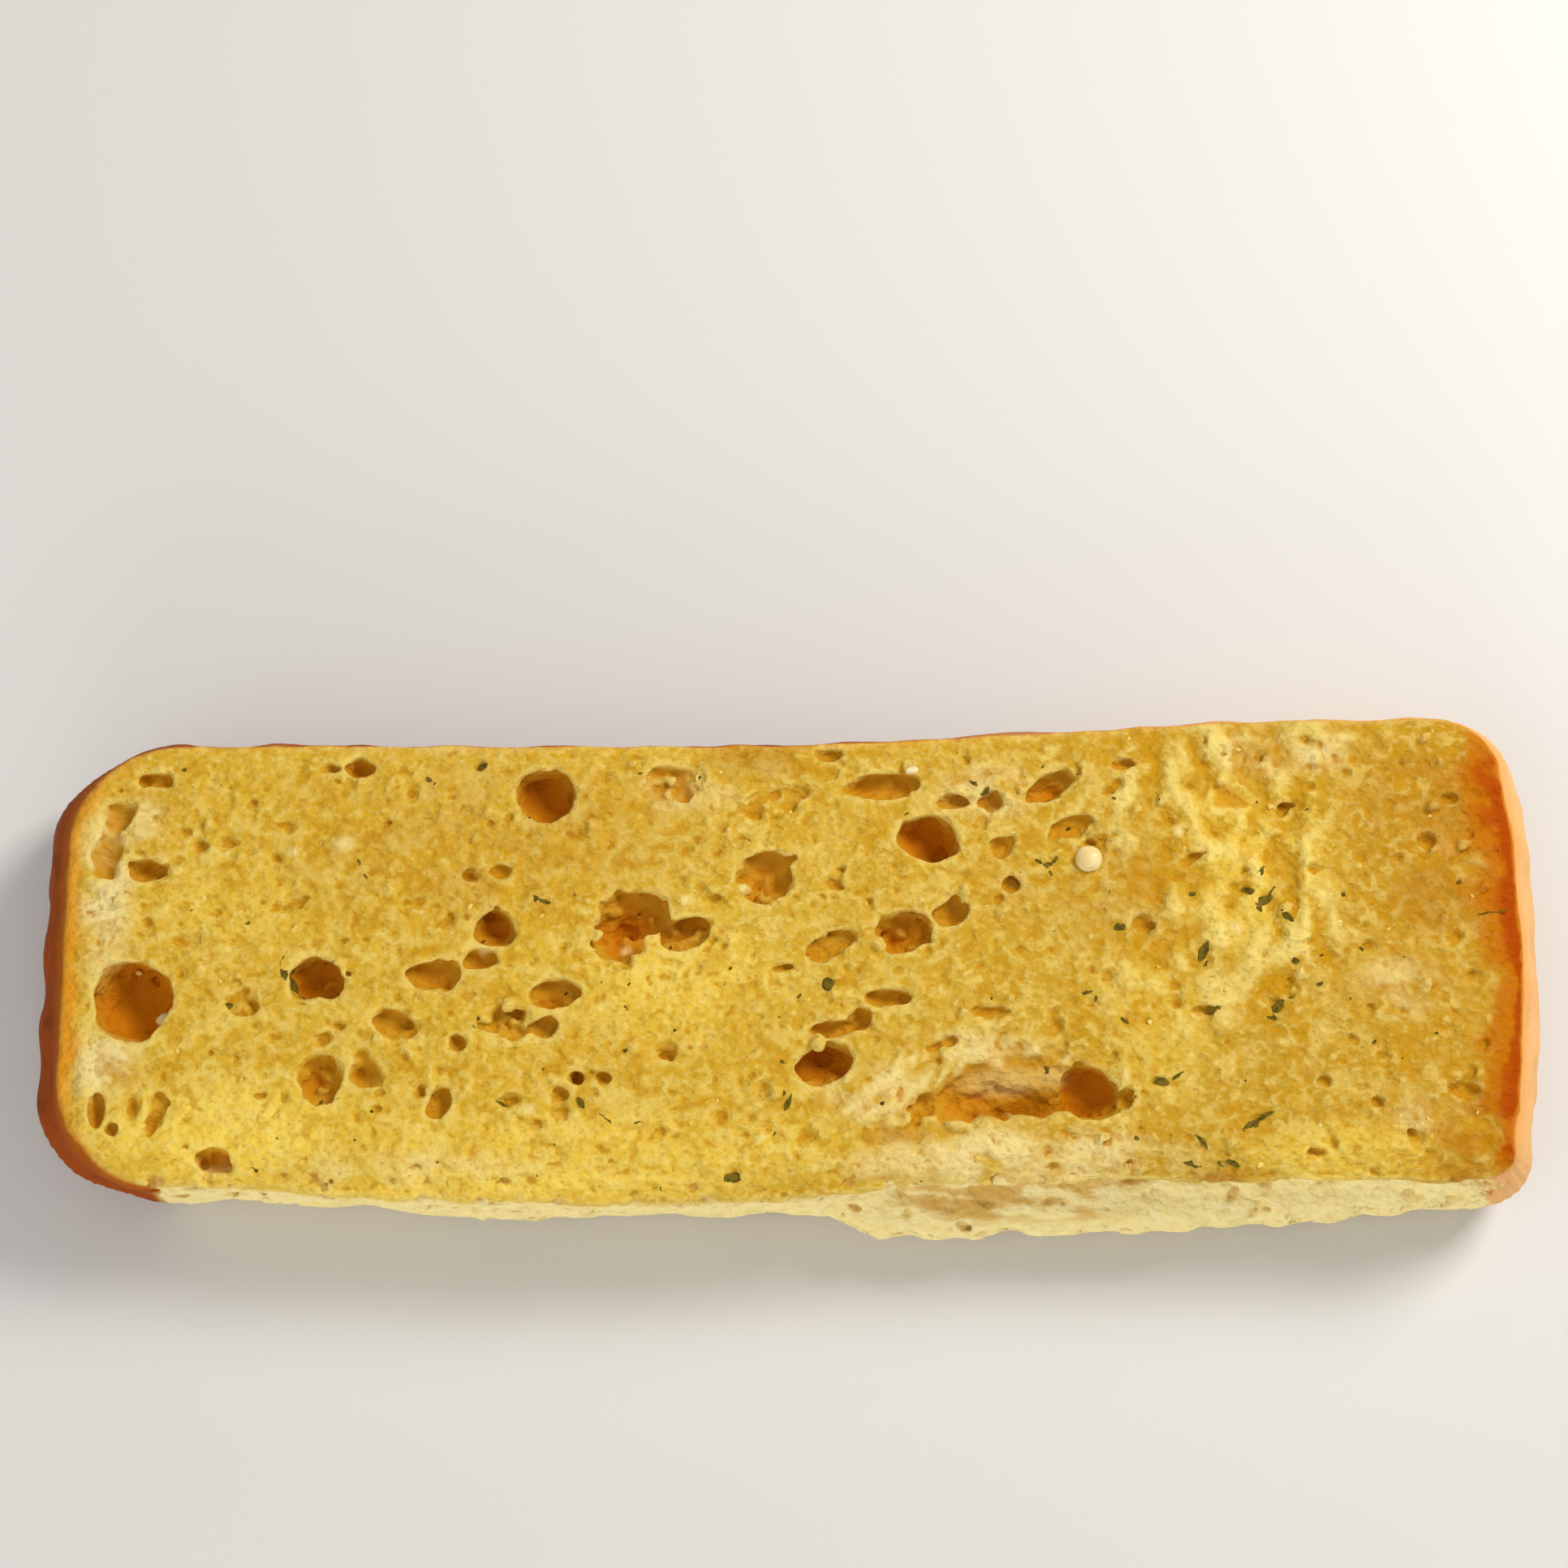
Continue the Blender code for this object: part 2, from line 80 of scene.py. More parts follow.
# The bubbles that show in the cut face: (x, y, length, width, depth, turn), mm and degrees.
BUBBLES = [
    (-117.3, -6.7, 13.4, 14.0, 8.2, -20), (-114.8, 33.1, 6.7, 2.7, 2.0, -5), (-121.4, 26.4, 4.9, 5.0, 2.6, 0),
    (-122.9, 19.8, 5.2, 8.0, 2.6, 0), (-116.0, 17.1, 6.6, 3.6, 3.6, -10), (-122.6, -26.0, 2.8, 6.4, 3.0, 0),
    (-119.8, -29.2, 2.8, 2.8, 2.0, 0), (-116.5, -25.3, 2.2, 4.8, 1.6, 0), (-112.2, -25.4, 2.6, 4.6, 1.6, 0),
    (-102.6, -34.6, 5.9, 4.2, 3.0, 0), (-97.4, -7.4, 5.4, 3.5, 2.0, -10), (-85.2, -2.9, 10.3, 7.8, 6.0, -5),
    (-83.9, -20.1, 7.7, 7.7, 4.4, 20), (-75.8, -19.7, 5.4, 5.4, 3.0, 0), (-71.1, -11.0, 8.6, 4.6, 3.0, -15),
    (-78.4, 35.4, 5.2, 3.0, 3.4, 0), (-83.2, 35.3, 2.6, 1.5, 1.5, 0), (-64.3, -2.1, 8.3, 5.5, 4.0, 0),
    (-59.7, -14.0, 2.6, 2.6, 2.0, 0), (-62.8, -24.5, 3.7, 6.0, 3.0, -20), (-54.0, 6.3, 6.6, 6.7, 5.0, 0),
    (-56.1, 1.0, 5.2, 3.2, 3.0, 0), (-51.6, -10.2, 9.1, 5.2, 2.4, 0), (-45.1, 30.4, 10.4, 9.2, 7.6, 0),
    (-44.4, -11.1, 4.0, 3.7, 2.6, 0), (-42.8, -5.6, 8.0, 4.9, 4.0, 10), (-39.0, -20.3, 2.6, 2.6, 2.4, 0),
    (-34.0, -20.3, 2.8, 2.3, 2.2, 0), (-41.8, -23.1, 3.1, 2.9, 1.8, 0), (-29.8, 7.3, 13.2, 10.6, 5.6, 20),
    (-20.1, 5.6, 9.2, 5.5, 4.4, 10), (-23.4, 32.5, 10.4, 6.0, 2.4, 0), (-39.9, 23.0, 4.0, 1.8, 1.0, 10),
    (-53.2, 16.7, 3.5, 2.4, 1.6, 0), (-5.8, 15.4, 10.1, 8.2, 4.4, 15), (-4.8, 28.9, 11.6, 5.1, 1.8, 10),
    (5.8, 3.4, 8.6, 3.5, 2.2, 25), (-2.9, -0.8, 3.7, 1.5, 1.4, 10), (5.6, 38.0, 4.9, 2.1, 1.6, 0),
    (14.8, 32.1, 12.5, 4.5, 3.6, 8), (23.2, 22.4, 10.1, 9.2, 7.6, 0), (28.2, 29.2, 5.8, 3.0, 2.6, 0),
    (34.6, 29.4, 3.8, 3.0, 3.0, 0), (45.3, 32.2, 8.4, 3.9, 3.6, 30), (48.1, 24.5, 8.4, 3.3, 2.0, 25),
    (36.2, 21.1, 4.3, 3.8, 2.0, 30), (37.8, 14.2, 3.2, 2.6, 1.8, 0), (18.9, 5.6, 9.5, 7.0, 5.0, 0),
    (27.1, 8.9, 6.3, 4.1, 3.0, 30), (15.5, -6.1, 8.0, 2.9, 3.0, 0), (10.8, -9.9, 4.3, 3.5, 2.6, 50),
    (6.3, -11.5, 8.8, 2.9, 3.0, 10), (4.9, -17.8, 10.0, 6.6, 7.0, 10), (33.5, -8.5, 6.0, 2.0, 1.6, 0),
    (58.4, 36.2, 4.4, 2.1, 2.0, 0), (77.8, 30.0, 8.7, 3.6, 1.2, 0), (116.3, 29.8, 2.9, 2.1, 1.4, 0),
    (111.7, 22.1, 2.9, 2.7, 1.4, 0), (67.6, 15.5, 3.2, 1.8, 1.2, 0), (116.6, -22.3, 5.1, 2.9, 2.0, 0),
    (118.0, -30.5, 9.9, 7.7, 1.3, 0), (101.2, -24.4, 2.3, 2.0, 1.4, 0), (92.1, -20.8, 2.3, 1.7, 1.2, 0),
    (90.5, -33.3, 3.7, 1.7, 1.4, 0), (72.0, -8.2, 5.7, 1.4, 1.0, 0),
]

# The torn hollow, where bubbles ran together, in the same measures: its long slope in two steps, the
# channel under its front lip, its deep right end, and the groove that leads into it.
HOLLOW = [
    (36.0, -21.3, 29.0, 11.5, 2.6, 3), (37.6, -24.2, 27.0, 8.0, 3.8, 4), (39.0, -25.8, 26.0, 5.0, 4.8, 4),
    (50.6, -22.8, 9.4, 9.4, 7.4, 0), (18.0, -30.4, 20.0, 2.6, 0.9, 8),
]

# Pits whose floor is a cluster of small cells: (x, y, half length, half width, lumps).
CLUSTERS = [
    (-30.0, 6.5, 6.0, 4.4, 13), (-20.0, 5.0, 4.0, 2.2, 6), (-5.5, 14.5, 4.6, 3.4, 9),
    (-50.0, -9.5, 5.0, 2.6, 8), (-23.4, 32.5, 5.0, 2.6, 8), (-4.8, 28.9, 5.0, 2.2, 7),
    (17.0, 4.0, 3.6, 2.2, 5), (-85.0, -2.0, 3.4, 2.2, 3), (-12.0, 12.0, 3.0, 2.0, 4),
    (4.0, -13.5, 3.0, 1.6, 3), (-85.0, -20.0, 2.6, 2.6, 4), (-97.4, -7.4, 2.2, 1.4, 3),
]

# Pale shreds that stand up round the hollow, and curds elsewhere on the face:
# (x, y, length, width, height, turn).
SHREDS = [
    (22.6, -20.0, 6.0, 2.0, 1.2, 62), (17.2, -19.0, 5.6, 1.8, 1.1, 68), (13.6, -21.8, 7.0, 2.0, 1.0, 42),
    (19.6, -22.6, 5.0, 1.5, 0.9, 50), (30.6, -15.6, 4.4, 3.0, 0.9, 20), (34.8, -17.6, 3.0, 2.2, 0.9, 0),
    (41.4, -15.4, 3.4, 2.4, 0.9, 10), (46.8, -17.0, 2.6, 1.8, 0.8, 30), (57.3, -19.8, 3.6, 1.5, 0.8, 88),
    (9.6, -25.4, 6.0, 1.8, 0.8, 40), (26.6, -17.0, 4.0, 1.8, 0.8, 70), (12.4, -26.6, 5.0, 1.2, 0.7, 35),
    (25.2, -19.8, 4.6, 1.2, 1.0, 66), (20.0, -17.4, 4.0, 1.4, 0.9, 60), (28.2, -18.4, 4.0, 1.6, 0.8, 50),
    (-80.6, 21.5, 4.3, 3.2, 1.3, 15), (-89.9, 20.1, 2.6, 2.2, 1.2, -20), (-19.9, 11.2, 2.8, 2.4, 1.2, 0),
    (-55.4, 2.6, 2.4, 1.8, 0.9, 30), (68.0, 24.2, 3.2, 2.2, 1.0, 60), (77.6, 6.4, 3.0, 2.0, 1.0, -50),
    (88.6, -2.0, 2.4, 1.8, 0.9, 80), (-6.6, -30.8, 2.2, 1.6, 0.8, 40), (-47.0, -26.0, 2.0, 2.6, 0.9, 80),
    (-30.6, 3.0, 2.6, 2.0, 1.2, 30), (98.0, 41.0, 3.6, 1.8, 0.9, 0), (-9.4, 13.6, 2.6, 2.0, 1.1, 40),
]

# Breaks in the torn lip: (x, y, z, length, width, height).
NOTCHES = [
    (80.5, -47.4, 11.0, 7.0, 4.4, 15.0), (60.2, -48.6, 9.0, 4.0, 2.0, 14.0),
    (100.0, -46.4, 12.0, 10.0, 2.4, 12.0),
]


def smooth(low, high, value):
    """0 below low, 1 above high, and an S-curve between."""
    share = np.clip((value - low) / (high - low), 0.0, 1.0)
    return share * share * (3.0 - 2.0 * share)


def back_edge(x):
    """Where the cut face ends at the back: the loaf widens to the right."""
    return 39.2 + 5.0 * smooth(-20.0, 110.0, x)


def front_edge(x):
    """Where the cut face ends in front: it bellies out left of the middle."""
    return -38.0 - 3.8 * np.exp(-(((x + 35.0) / 55.0) ** 2))


def cut_outline(count):
    """The rim of the cut face: a rounded rectangle with bowed sides, evenly spaced and anticlockwise."""
    path = []
    corners = ((1, 1), (-1, 1), (-1, -1), (1, -1))
    for quarter, ((sx, sy), radius) in enumerate(zip(corners, CORNER_RADII)):
        for step in range(13):
            angle = math.radians(90.0 * quarter + 7.5 * step)
            path.append((
                sx * (HALF_LENGTH - radius) + radius * math.cos(angle),
                sy * (HALF_WIDTH - radius) + radius * math.sin(angle),
            ))
    path = np.array(path + path[:1])
    reached = np.append(0.0, np.cumsum(np.hypot(*np.diff(path, axis=0).T)))
    wanted = reached[-1] * np.arange(count) / count
    x, y = (np.interp(wanted, reached, path[:, axis]) for axis in (0, 1))
    share = y / HALF_WIDTH
    sag = np.where(x > 0, RIGHT_END_SAG + RIGHT_END_BOW * share**2, 0.0) * np.abs(x) / HALF_LENGTH
    middle = (back_edge(x) + front_edge(x)) / 2
    half = (back_edge(x) - front_edge(x)) / 2
    return np.stack([x - np.sign(x) * sag, middle + half * share], axis=1)


def ledge_at(x, z):
    """How far the torn lip stands out of the front side: ragged along X, with a groove above it."""
    along = smooth(4.0, 14.0, x) * (1.0 - 0.6 * smooth(66.0, 122.0, x))
    ragged = 1.0 + 0.28 * noise.noise(Vector((x / 7.0, 3.0, 0.0)))
    lip = 1.0 - smooth(13.0, 19.0, z)
    groove = math.exp(-(((z - GROOVE_HEIGHT) / 3.0) ** 2))
    return along * (LEDGE_REACH * ragged * lip - GROOVE_DEPTH * groove)


def side_offset(x, y, nx, ny, z):
    """How far the side at height z stands out of the rim of the cut face."""
    rise = min(z / THICKNESS, 1.0)
    swell = math.sin(math.pi * rise**0.75) ** 0.8 if rise < 1.0 else 0.0
    to_end, to_back, to_front = nx**2, max(ny, 0.0) ** 2, max(-ny, 0.0) ** 2
    bulge = (RIGHT_BULGE if nx > 0 else LEFT_BULGE) * to_end + BACK_BULGE * to_back + FRONT_BULGE * to_front
    tuck = BASE_RADIUS - math.sqrt(BASE_RADIUS**2 - max(BASE_RADIUS - z, 0.0) ** 2)
    blister = 1.1 * noise.noise(Vector((x, y, z)) / 9.0) * smooth(0.0, 4.0, z)
    blister *= 1.0 - smooth(THICKNESS - 6.0, THICKNESS, z)
    return bulge * swell - tuck + blister + to_front * ledge_at(x, z)


def cut_height(x, y):
    """Height of the knife's cut: long waves, two creases where the blade turned, and rolled edges."""
    waves = [noise.noise(Vector(spot) / 45.0) for spot in zip(x.ravel(), y.ravel(), np.zeros(x.size))]
    height = THICKNESS + 0.7 * np.reshape(waves, x.shape)
    drag = (y - 9.0) - 0.42 * x
    height += 0.8 * np.exp(-((drag / 5.0) ** 2)) * (1.0 - smooth(30.0, 75.0, np.abs(x)))
    fold = x - 88.0 - 0.14 * y
    height += 0.9 * np.exp(-((fold / 4.0) ** 2)) * smooth(-20.0, 15.0, y)
    sag = np.where(x > 0, RIGHT_END_SAG + RIGHT_END_BOW * (y / HALF_WIDTH) ** 2, 0.0)
    ends = HALF_LENGTH - sag - np.abs(x)
    to_front = y - front_edge(x)
    room = np.minimum(np.minimum(ends, back_edge(x) - y), to_front)
    height -= 0.7 * (1.0 - smooth(0.0, 3.5, room))
    return height - 2.4 * (1.0 - smooth(0.0, 7.0, to_front))


def lattice_noise(shape, cells, seed):
    """Smooth noise, about -1 to 1, on a grid: one random knot per cell, joined by cubic splines."""
    knots = [int(n / c) + 4 for n, c in zip(shape, cells)]
    values = np.random.default_rng(seed).uniform(-1.0, 1.0, knots).astype(np.float32)
    for axis, (n, c) in enumerate(zip(shape, cells)):
        at = np.arange(n) / c
        low = at.astype(int)
        t = (at - low).astype(np.float32)
        weights = ((1 - t) ** 3, 3 * t**3 - 6 * t**2 + 4, -3 * t**3 + 3 * t**2 + 3 * t + 1, t**3)
        spread = [1] * len(shape)
        spread[axis] = n
        values = sum(
            np.take(values, low + tap, axis) * (weight / 6.0).reshape(spread)
            for tap, weight in enumerate(weights)
        )
    return values * 2.6  # the splines flatten the noise, and this brings it back to about -1 to 1


def smooth_max(a, b, width):
    """The larger of two values, rounded over that width where they are nearly equal."""
    blend = np.clip(0.5 + 0.5 * (a - b) / width, 0.0, 1.0)
    return a * blend + b * (1.0 - blend) + width * blend * (1.0 - blend)


def shape_with(kind, centre, size, turn=0.0, tilt=0.0, uneven=0.2, rim=0.3):
    """Cuts one uneven ellipsoid out of the bread, or adds one to it; rim rounds the edge between them."""
    reach = max(size) * 1.3 + rim
    low = np.maximum(((centre - reach - origin) / STEP).astype(int), 0)
    high = np.minimum(((centre + reach - origin) / STEP).astype(int) + 2, grid)
    if (high <= low).any():
        return
    part = field[low[0]:high[0], low[1]:high[1], low[2]:high[2]]
    gx, gy, gz = (origin[i] + STEP * np.arange(low[i], high[i]) - centre[i] for i in range(3))
    gx, gy, gz = gx[:, None, None], gy[None, :, None], gz[None, None, :]
    cos, sin = math.cos(turn), math.sin(turn)
    along, across = cos * gx + sin * gy, cos * gy - sin * gx
    a, b, c = along / size[0], across / size[1], (gz + math.tan(tilt) * along) / size[2]
    radius = np.sqrt(a * a + b * b + c * c)
    wave = draw.uniform(1.2, 3.4, (4, 3)) * draw.choice((-1, 1), (4, 3))
    phase = draw.uniform(0.0, 6.28, 4)
    bumps = sum(np.sin(w[0] * a + w[1] * b + w[2] * c + p) for w, p in zip(wave, phase))
    blob = (radius * (1.0 + uneven * bumps / len(phase)) - 1.0) * min(size)
    nearby = ragged[low[0]:high[0], low[1]:high[1], low[2]:high[2]]
    blob += nearby * min(0.3 * min(size), 0.8)
    part[...] = smooth_max(part, -blob, rim) if kind == "hole" else -smooth_max(-part, -blob, rim)


# The loaf is worked out on a grid of small cubes, STEP mm wide, as a distance that is 0 on its surface
# and below 0 inside: pores down to about 1 mm are shaped in it, finer ones are bump.
STEP = 0.5
origin = np.array([-139.0, -49.0, -1.0])
grid = tuple(int(round(span / STEP)) for span in (276.0, 99.0, 32.5))
xs, ys, zs = (origin[i] + STEP * np.arange(grid[i]) for i in range(3))
plan_x, plan_y = np.meshgrid(xs, ys, indexing="ij")

# The loaf's side: each column's distance from the rim of the cut face, less the side's offset there.
RIM_POINTS = 720
rim_points = cut_outline(RIM_POINTS)
along = np.roll(rim_points, -1, axis=0) - np.roll(rim_points, 1, axis=0)
rim_normals = np.stack([along[:, 1], -along[:, 0]], axis=1) / np.hypot(*along.T)[:, None]
nearest = np.full(plan_x.shape, 1e9)
owner = np.zeros(plan_x.shape, int)
for number, (x, y) in enumerate(rim_points):
    gap = (plan_x - x) ** 2 + (plan_y - y) ** 2
    closer = gap < nearest
    nearest[closer] = gap[closer]
    owner[closer] = number
out_of_rim = (plan_x - rim_points[owner, 0]) * rim_normals[owner, 0]
out_of_rim += (plan_y - rim_points[owner, 1]) * rim_normals[owner, 1]
near_rim = nearest < 3.0**2
out_of_rim = np.where(near_rim, out_of_rim, np.sqrt(nearest) * np.sign(out_of_rim))
offsets = np.array([
    [side_offset(x, y, nx, ny, max(z, 0.0)) for z in zs]
    for (x, y), (nx, ny) in zip(rim_points, rim_normals)
], np.float32)
skin = out_of_rim[:, :, None].astype(np.float32) - offsets[owner]  # 0 on the loaf's outer side

# Torn crumb on the front is rough and stringy; the baked crust, round the corners too, has low blisters.
facing = smooth(0.25, 0.7, -rim_normals[:, 1])
facing *= smooth(-119.0, -108.0, rim_points[:, 0]) * (1.0 - smooth(119.0, 124.0, rim_points[:, 0]))
torn = facing[owner].astype(np.float32)
rough = lattice_noise(grid, (11.0, 5.0, 4.0), 5) * 0.45 + lattice_noise(grid, (5.0, 3.0, 2.6), 6) * 0.22
blisters = np.maximum(lattice_noise(grid, (8.0, 8.0, 8.0), 7), -0.2) * 0.35
skin += torn[:, :, None] * rough - (1.0 - torn[:, :, None]) * blisters

# The cut face: a soft grain, the step that the blade left across the middle, and towards the right
# end short folds of crumb and butter that were pushed together and curl round the herbs.
plain_height = cut_height(plan_x, plan_y)
grain = lattice_noise(grid[:2], (5.4, 4.6), 8) * 0.14 + lattice_noise(grid[:2], (2.4, 2.1), 9) * 0.17
smeared = smooth(44.0, 66.0, plan_x) * (1.0 - smooth(86.0, 104.0, plan_x)) * smooth(-24.0, 4.0, plan_y)
swirl = lattice_noise(grid[:2], (40.0, 40.0), 11) * 7.0
MARGIN = 40  # cells round the folds, so that the swirl can shift them
folds = lattice_noise((grid[0] + 2 * MARGIN, grid[1] + 2 * MARGIN), (3.4, 5.8), 10)
row = np.arange(grid[0])[:, None] + MARGIN
column = np.arange(grid[1])[None, :] + MARGIN
folds = folds[(row + swirl).astype(int), (column + 0.4 * swirl).astype(int)]
clots = 0.52 * folds * smeared
past_step = 7.2 + 0.38 * plan_x - plan_y
step = 0.32 * smooth(-1.2, 1.2, past_step) * np.exp(-((past_step / 8.0) ** 2))
step *= smooth(-34.0, -16.0, plan_x) * (1.0 - smooth(26.0, 44.0, plan_x))
height = plain_height + grain + clots + step
under_cut = (zs[None, None, :] - height[:, :, None]).astype(np.float32)  # 0 on the cut face

# Walls of bubbles are rough with the cells that they cut through.
ragged = lattice_noise(grid, (6.4, 6.0, 5.0), 31) * 0.5 + lattice_noise(grid, (2.9, 2.7, 2.5), 32) * 0.5

field = smooth_max(skin, under_cut, 0.9)
# The underside took the shape of its tray: low dimples, up to about half a millimetre.
dimples = np.maximum(lattice_noise(grid[:2], (16.0, 13.0), 41), 0.0) * 0.6
field = smooth_max(field, dimples[:, :, None] - zs[None, None, :].astype(np.float32), 0.5)
draw = np.random.default_rng(4)


def column_of(x, y):
    """The column of the grid that holds that place of the plan."""
    return int((x - origin[0]) / STEP), int((y - origin[1]) / STEP)


def top_of(x, y):
    """Height of the crumb's surface at that place, pits and all."""
    column = field[column_of(x, y)]
    solid = np.nonzero(column < 0)[0]
    return zs[solid[-1]] if len(solid) else 0.0


CRUST_MARGIN = 2.2


def scatter(kind, count, small, large, lowest, highest, under=-9.0):
    """Pores, or lumps, wherever crumb is bare: on the cut, the torn side and the walls of bubbles.

    Their middles lie between the lowest and highest share of their length out of the surface, and
    at least that far under the cut. Where the side is baked, they keep clear of its crust.
    """
    low = np.array([-131.0, -47.0, 6.0])
    high = np.array([129.0, 46.0, 30.5])
    made = 0
    while made < count:
        centre = draw.uniform(low, high)
        length = draw.uniform(small, large)
        cell = tuple(((centre - origin) / STEP).astype(int))
        if not lowest * length < field[cell] < highest * length or under_cut[cell] > -under:
            continue
        if torn[cell[0], cell[1]] < 0.5 and -skin[cell] < CRUST_MARGIN + length / 2:
            continue
        size = length / 2 * np.array((1.0, draw.uniform(0.5, 0.95), draw.uniform(0.55, 0.85)))
        shape_with(kind, centre, size, draw.normal(0.45, 0.5), draw.normal(0.0, 0.2), 0.22, 0.5)
        made += 1


scatter("hole", 120, 2.4, 4.0, -0.1, 0.2)
scatter("lump", 260, 1.4, 2.8, -0.3, -0.05)
scatter("hole", 700, 1.3, 2.3, -0.1, 0.2)
scatter("hole", 1900, 0.9, 1.5, -0.1, 0.2)

# A bubble's middle lies under the cut, so that its walls lean in over it, and its mouth has the width
# that its row gives. Long or shallow ones have softer edges.
SUNK_SHARE = 0.22
for x, y, length, width, depth, turn in BUBBLES + HOLLOW:
    sunk = SUNK_SHARE * depth
    deep = depth - sunk
    mouth = math.sqrt(1.0 - (sunk / deep) ** 2)
    centre = np.array([x, y, plain_height[column_of(x, y)] - sunk])
    size = (length / 2 / mouth, width / 2 / mouth, deep)
    soft = min(0.5 + 0.0012 * length**2 + 3.0 * max(0.45 - depth / width, 0.0), 1.8)
    shape_with("hole", centre, size, math.radians(turn), 0.0, 0.16, soft)
for x, y, z, length, width, tall in NOTCHES:
    shape_with("hole", np.array([x, y, z]), (length / 2, width / 2, tall / 2), 0.0, 0.0, 0.3, 0.6)
for x, y, length, width, tall, turn in SHREDS:
    centre = np.array([x, y, top_of(x, y) - 0.35 * tall])
    shape_with("lump", centre, (0.5 * length, 0.6 * width, tall), math.radians(turn), 0.0, 0.25, 1.3)
# Ten lumps make the hollow's front lip uneven.
for x in draw.uniform(28.0, 54.0, 10):
    at = (x, -28.6 + 0.075 * (x - 29.0) + draw.normal(0.0, 0.3))
    size = draw.uniform(0.9, 1.4) * np.array((draw.uniform(1.2, 2.4), draw.uniform(0.6, 0.9), 0.6))
    centre = np.array([*at, plain_height[column_of(*at)] - 0.6])
    shape_with("lump", centre, size, draw.normal(0.0, 0.4), 0.0, 0.3, 1.0)
for x, y, half_x, half_y, lumps in CLUSTERS:
    for _ in range(lumps):
        angle, out = draw.uniform(0.0, 6.28), math.sqrt(draw.uniform(0.0, 1.0))
        at_x, at_y = x + half_x * out * math.cos(angle), y + half_y * out * math.sin(angle)
        size = draw.uniform(0.7, 1.5) * np.array((1.0, draw.uniform(0.7, 1.0), draw.uniform(0.7, 1.0)))
        centre = np.array([at_x, at_y, top_of(at_x, at_y) + 0.2])
        shape_with("lump", centre, size, draw.uniform(0.0, 3.1), 0.0, 0.25, 0.6)
scatter("hole", 650, 1.3, 2.8, -0.1, 0.25, 1.2)
scatter("hole", 1200, 0.9, 1.5, -0.1, 0.2)


def surface_net():
    """The closed surface where the field is 0: one point in each cell that it crosses, joined by squares."""
    inside = field < 0
    cells = tuple(n - 1 for n in field.shape)
    corners = [(i, j, k) for i in (0, 1) for j in (0, 1) for k in (0, 1)]
    solid = sum(
        inside[i:i + cells[0], j:j + cells[1], k:k + cells[2]].astype(np.int8) for i, j, k in corners
    )
    active = np.argwhere((solid > 0) & (solid < 8))
    index = np.full(cells, -1, np.int32)
    index[tuple(active.T)] = np.arange(len(active))
    total, count = np.zeros((len(active), 3)), np.zeros(len(active))
    values = {c: field[tuple((active + c).T)] for c in corners}
    for c in corners:
        for axis in range(3):
            if c[axis]:
                continue
            d = tuple(v + (i == axis) for i, v in enumerate(c))
            crosses = (values[c] < 0) != (values[d] < 0)
            share = values[c][crosses] / (values[c][crosses] - values[d][crosses])
            at = np.tile(np.array(c, float), (len(share), 1))
            at[:, axis] += share
            total[crosses] += at
            count[crosses] += 1
    points = origin + STEP * (active + total / count[:, None])
    squares = []
    for axis in range(3):
        u, v = (axis + 1) % 3, (axis + 2) % 3
        first = [slice(1, -1)] * 3
        first[axis] = slice(0, -1)
        second = list(first)
        second[axis] = slice(1, None)
        here, there = inside[tuple(first)], inside[tuple(second)]
        edges = np.argwhere(here != there)
        leaving = here[tuple(edges.T)]
        edges[:, u] += 1
        edges[:, v] += 1
        ring = []
        for du, dv in ((-1, -1), (0, -1), (0, 0), (-1, 0)):
            cell = edges.copy()
            cell[:, u] += du
            cell[:, v] += dv
            ring.append(index[tuple(cell.T)])
        ring = np.stack(ring, axis=1)
        ring[~leaving] = ring[~leaving, ::-1]
        squares.append(ring)
    return points, np.concatenate(squares)


def largest_body(points, faces):
    """Keeps the biggest connected surface: drops loose crumbs and sealed bubbles inside."""
    label = np.arange(len(points))
    while True:
        low = label[faces].min(axis=1)
        new = label.copy()
        for corner in range(faces.shape[1]):
            np.minimum.at(new, faces[:, corner], low)
        new = new[new]
        if (new == label).all():
            break
        label = new
    kept = label == np.bincount(label).argmax()
    number = np.cumsum(kept) - 1
    return points[kept], number[faces[kept[faces[:, 0]]]]


def new_object(name, points, faces):
    """A smooth-shaded mesh from points in millimetres, put in the frame of the part."""
    mesh = bpy.data.meshes.new(name)
    mesh.vertices.add(len(points))
    mesh.vertices.foreach_set("co", ((np.asarray(points) + SHIFT) * MM).astype(np.float32).ravel())
    if len(faces):
        faces = np.asarray(faces, np.int32)
        mesh.loops.add(faces.size)
        mesh.loops.foreach_set("vertex_index", faces.ravel())
        mesh.polygons.add(len(faces))
        mesh.polygons.foreach_set("loop_start", np.arange(len(faces), dtype=np.int32) * faces.shape[1])
    mesh.update(calc_edges=True)
    mesh.shade_smooth()
    made = bpy.data.objects.new(name, mesh)
    bpy.context.scene.collection.objects.link(made)
    return made


def apply_modifiers(obj):
    """Replaces the object's mesh by what its modifiers make of it."""
    graph = bpy.context.evaluated_depsgraph_get()
    mesh = bpy.data.meshes.new_from_object(obj.evaluated_get(graph), depsgraph=graph)
    obj.modifiers.clear()
    obj.data = mesh


def keep(obj, name, values, kind="FLOAT"):
    """Stores a value for each point of the mesh."""
    made = obj.data.attributes.new(name, kind, "POINT")
    made.data.foreach_set("value" if kind == "FLOAT" else "vector", np.asarray(values, np.float32).ravel())


MOST_TRIANGLES = 196000
points, faces = largest_body(*surface_net())
bread = new_object("bread", points, faces)
thin = bread.modifiers.new("Thin", "DECIMATE")
thin.ratio = MOST_TRIANGLES / (2 * len(faces))
apply_modifiers(bread)

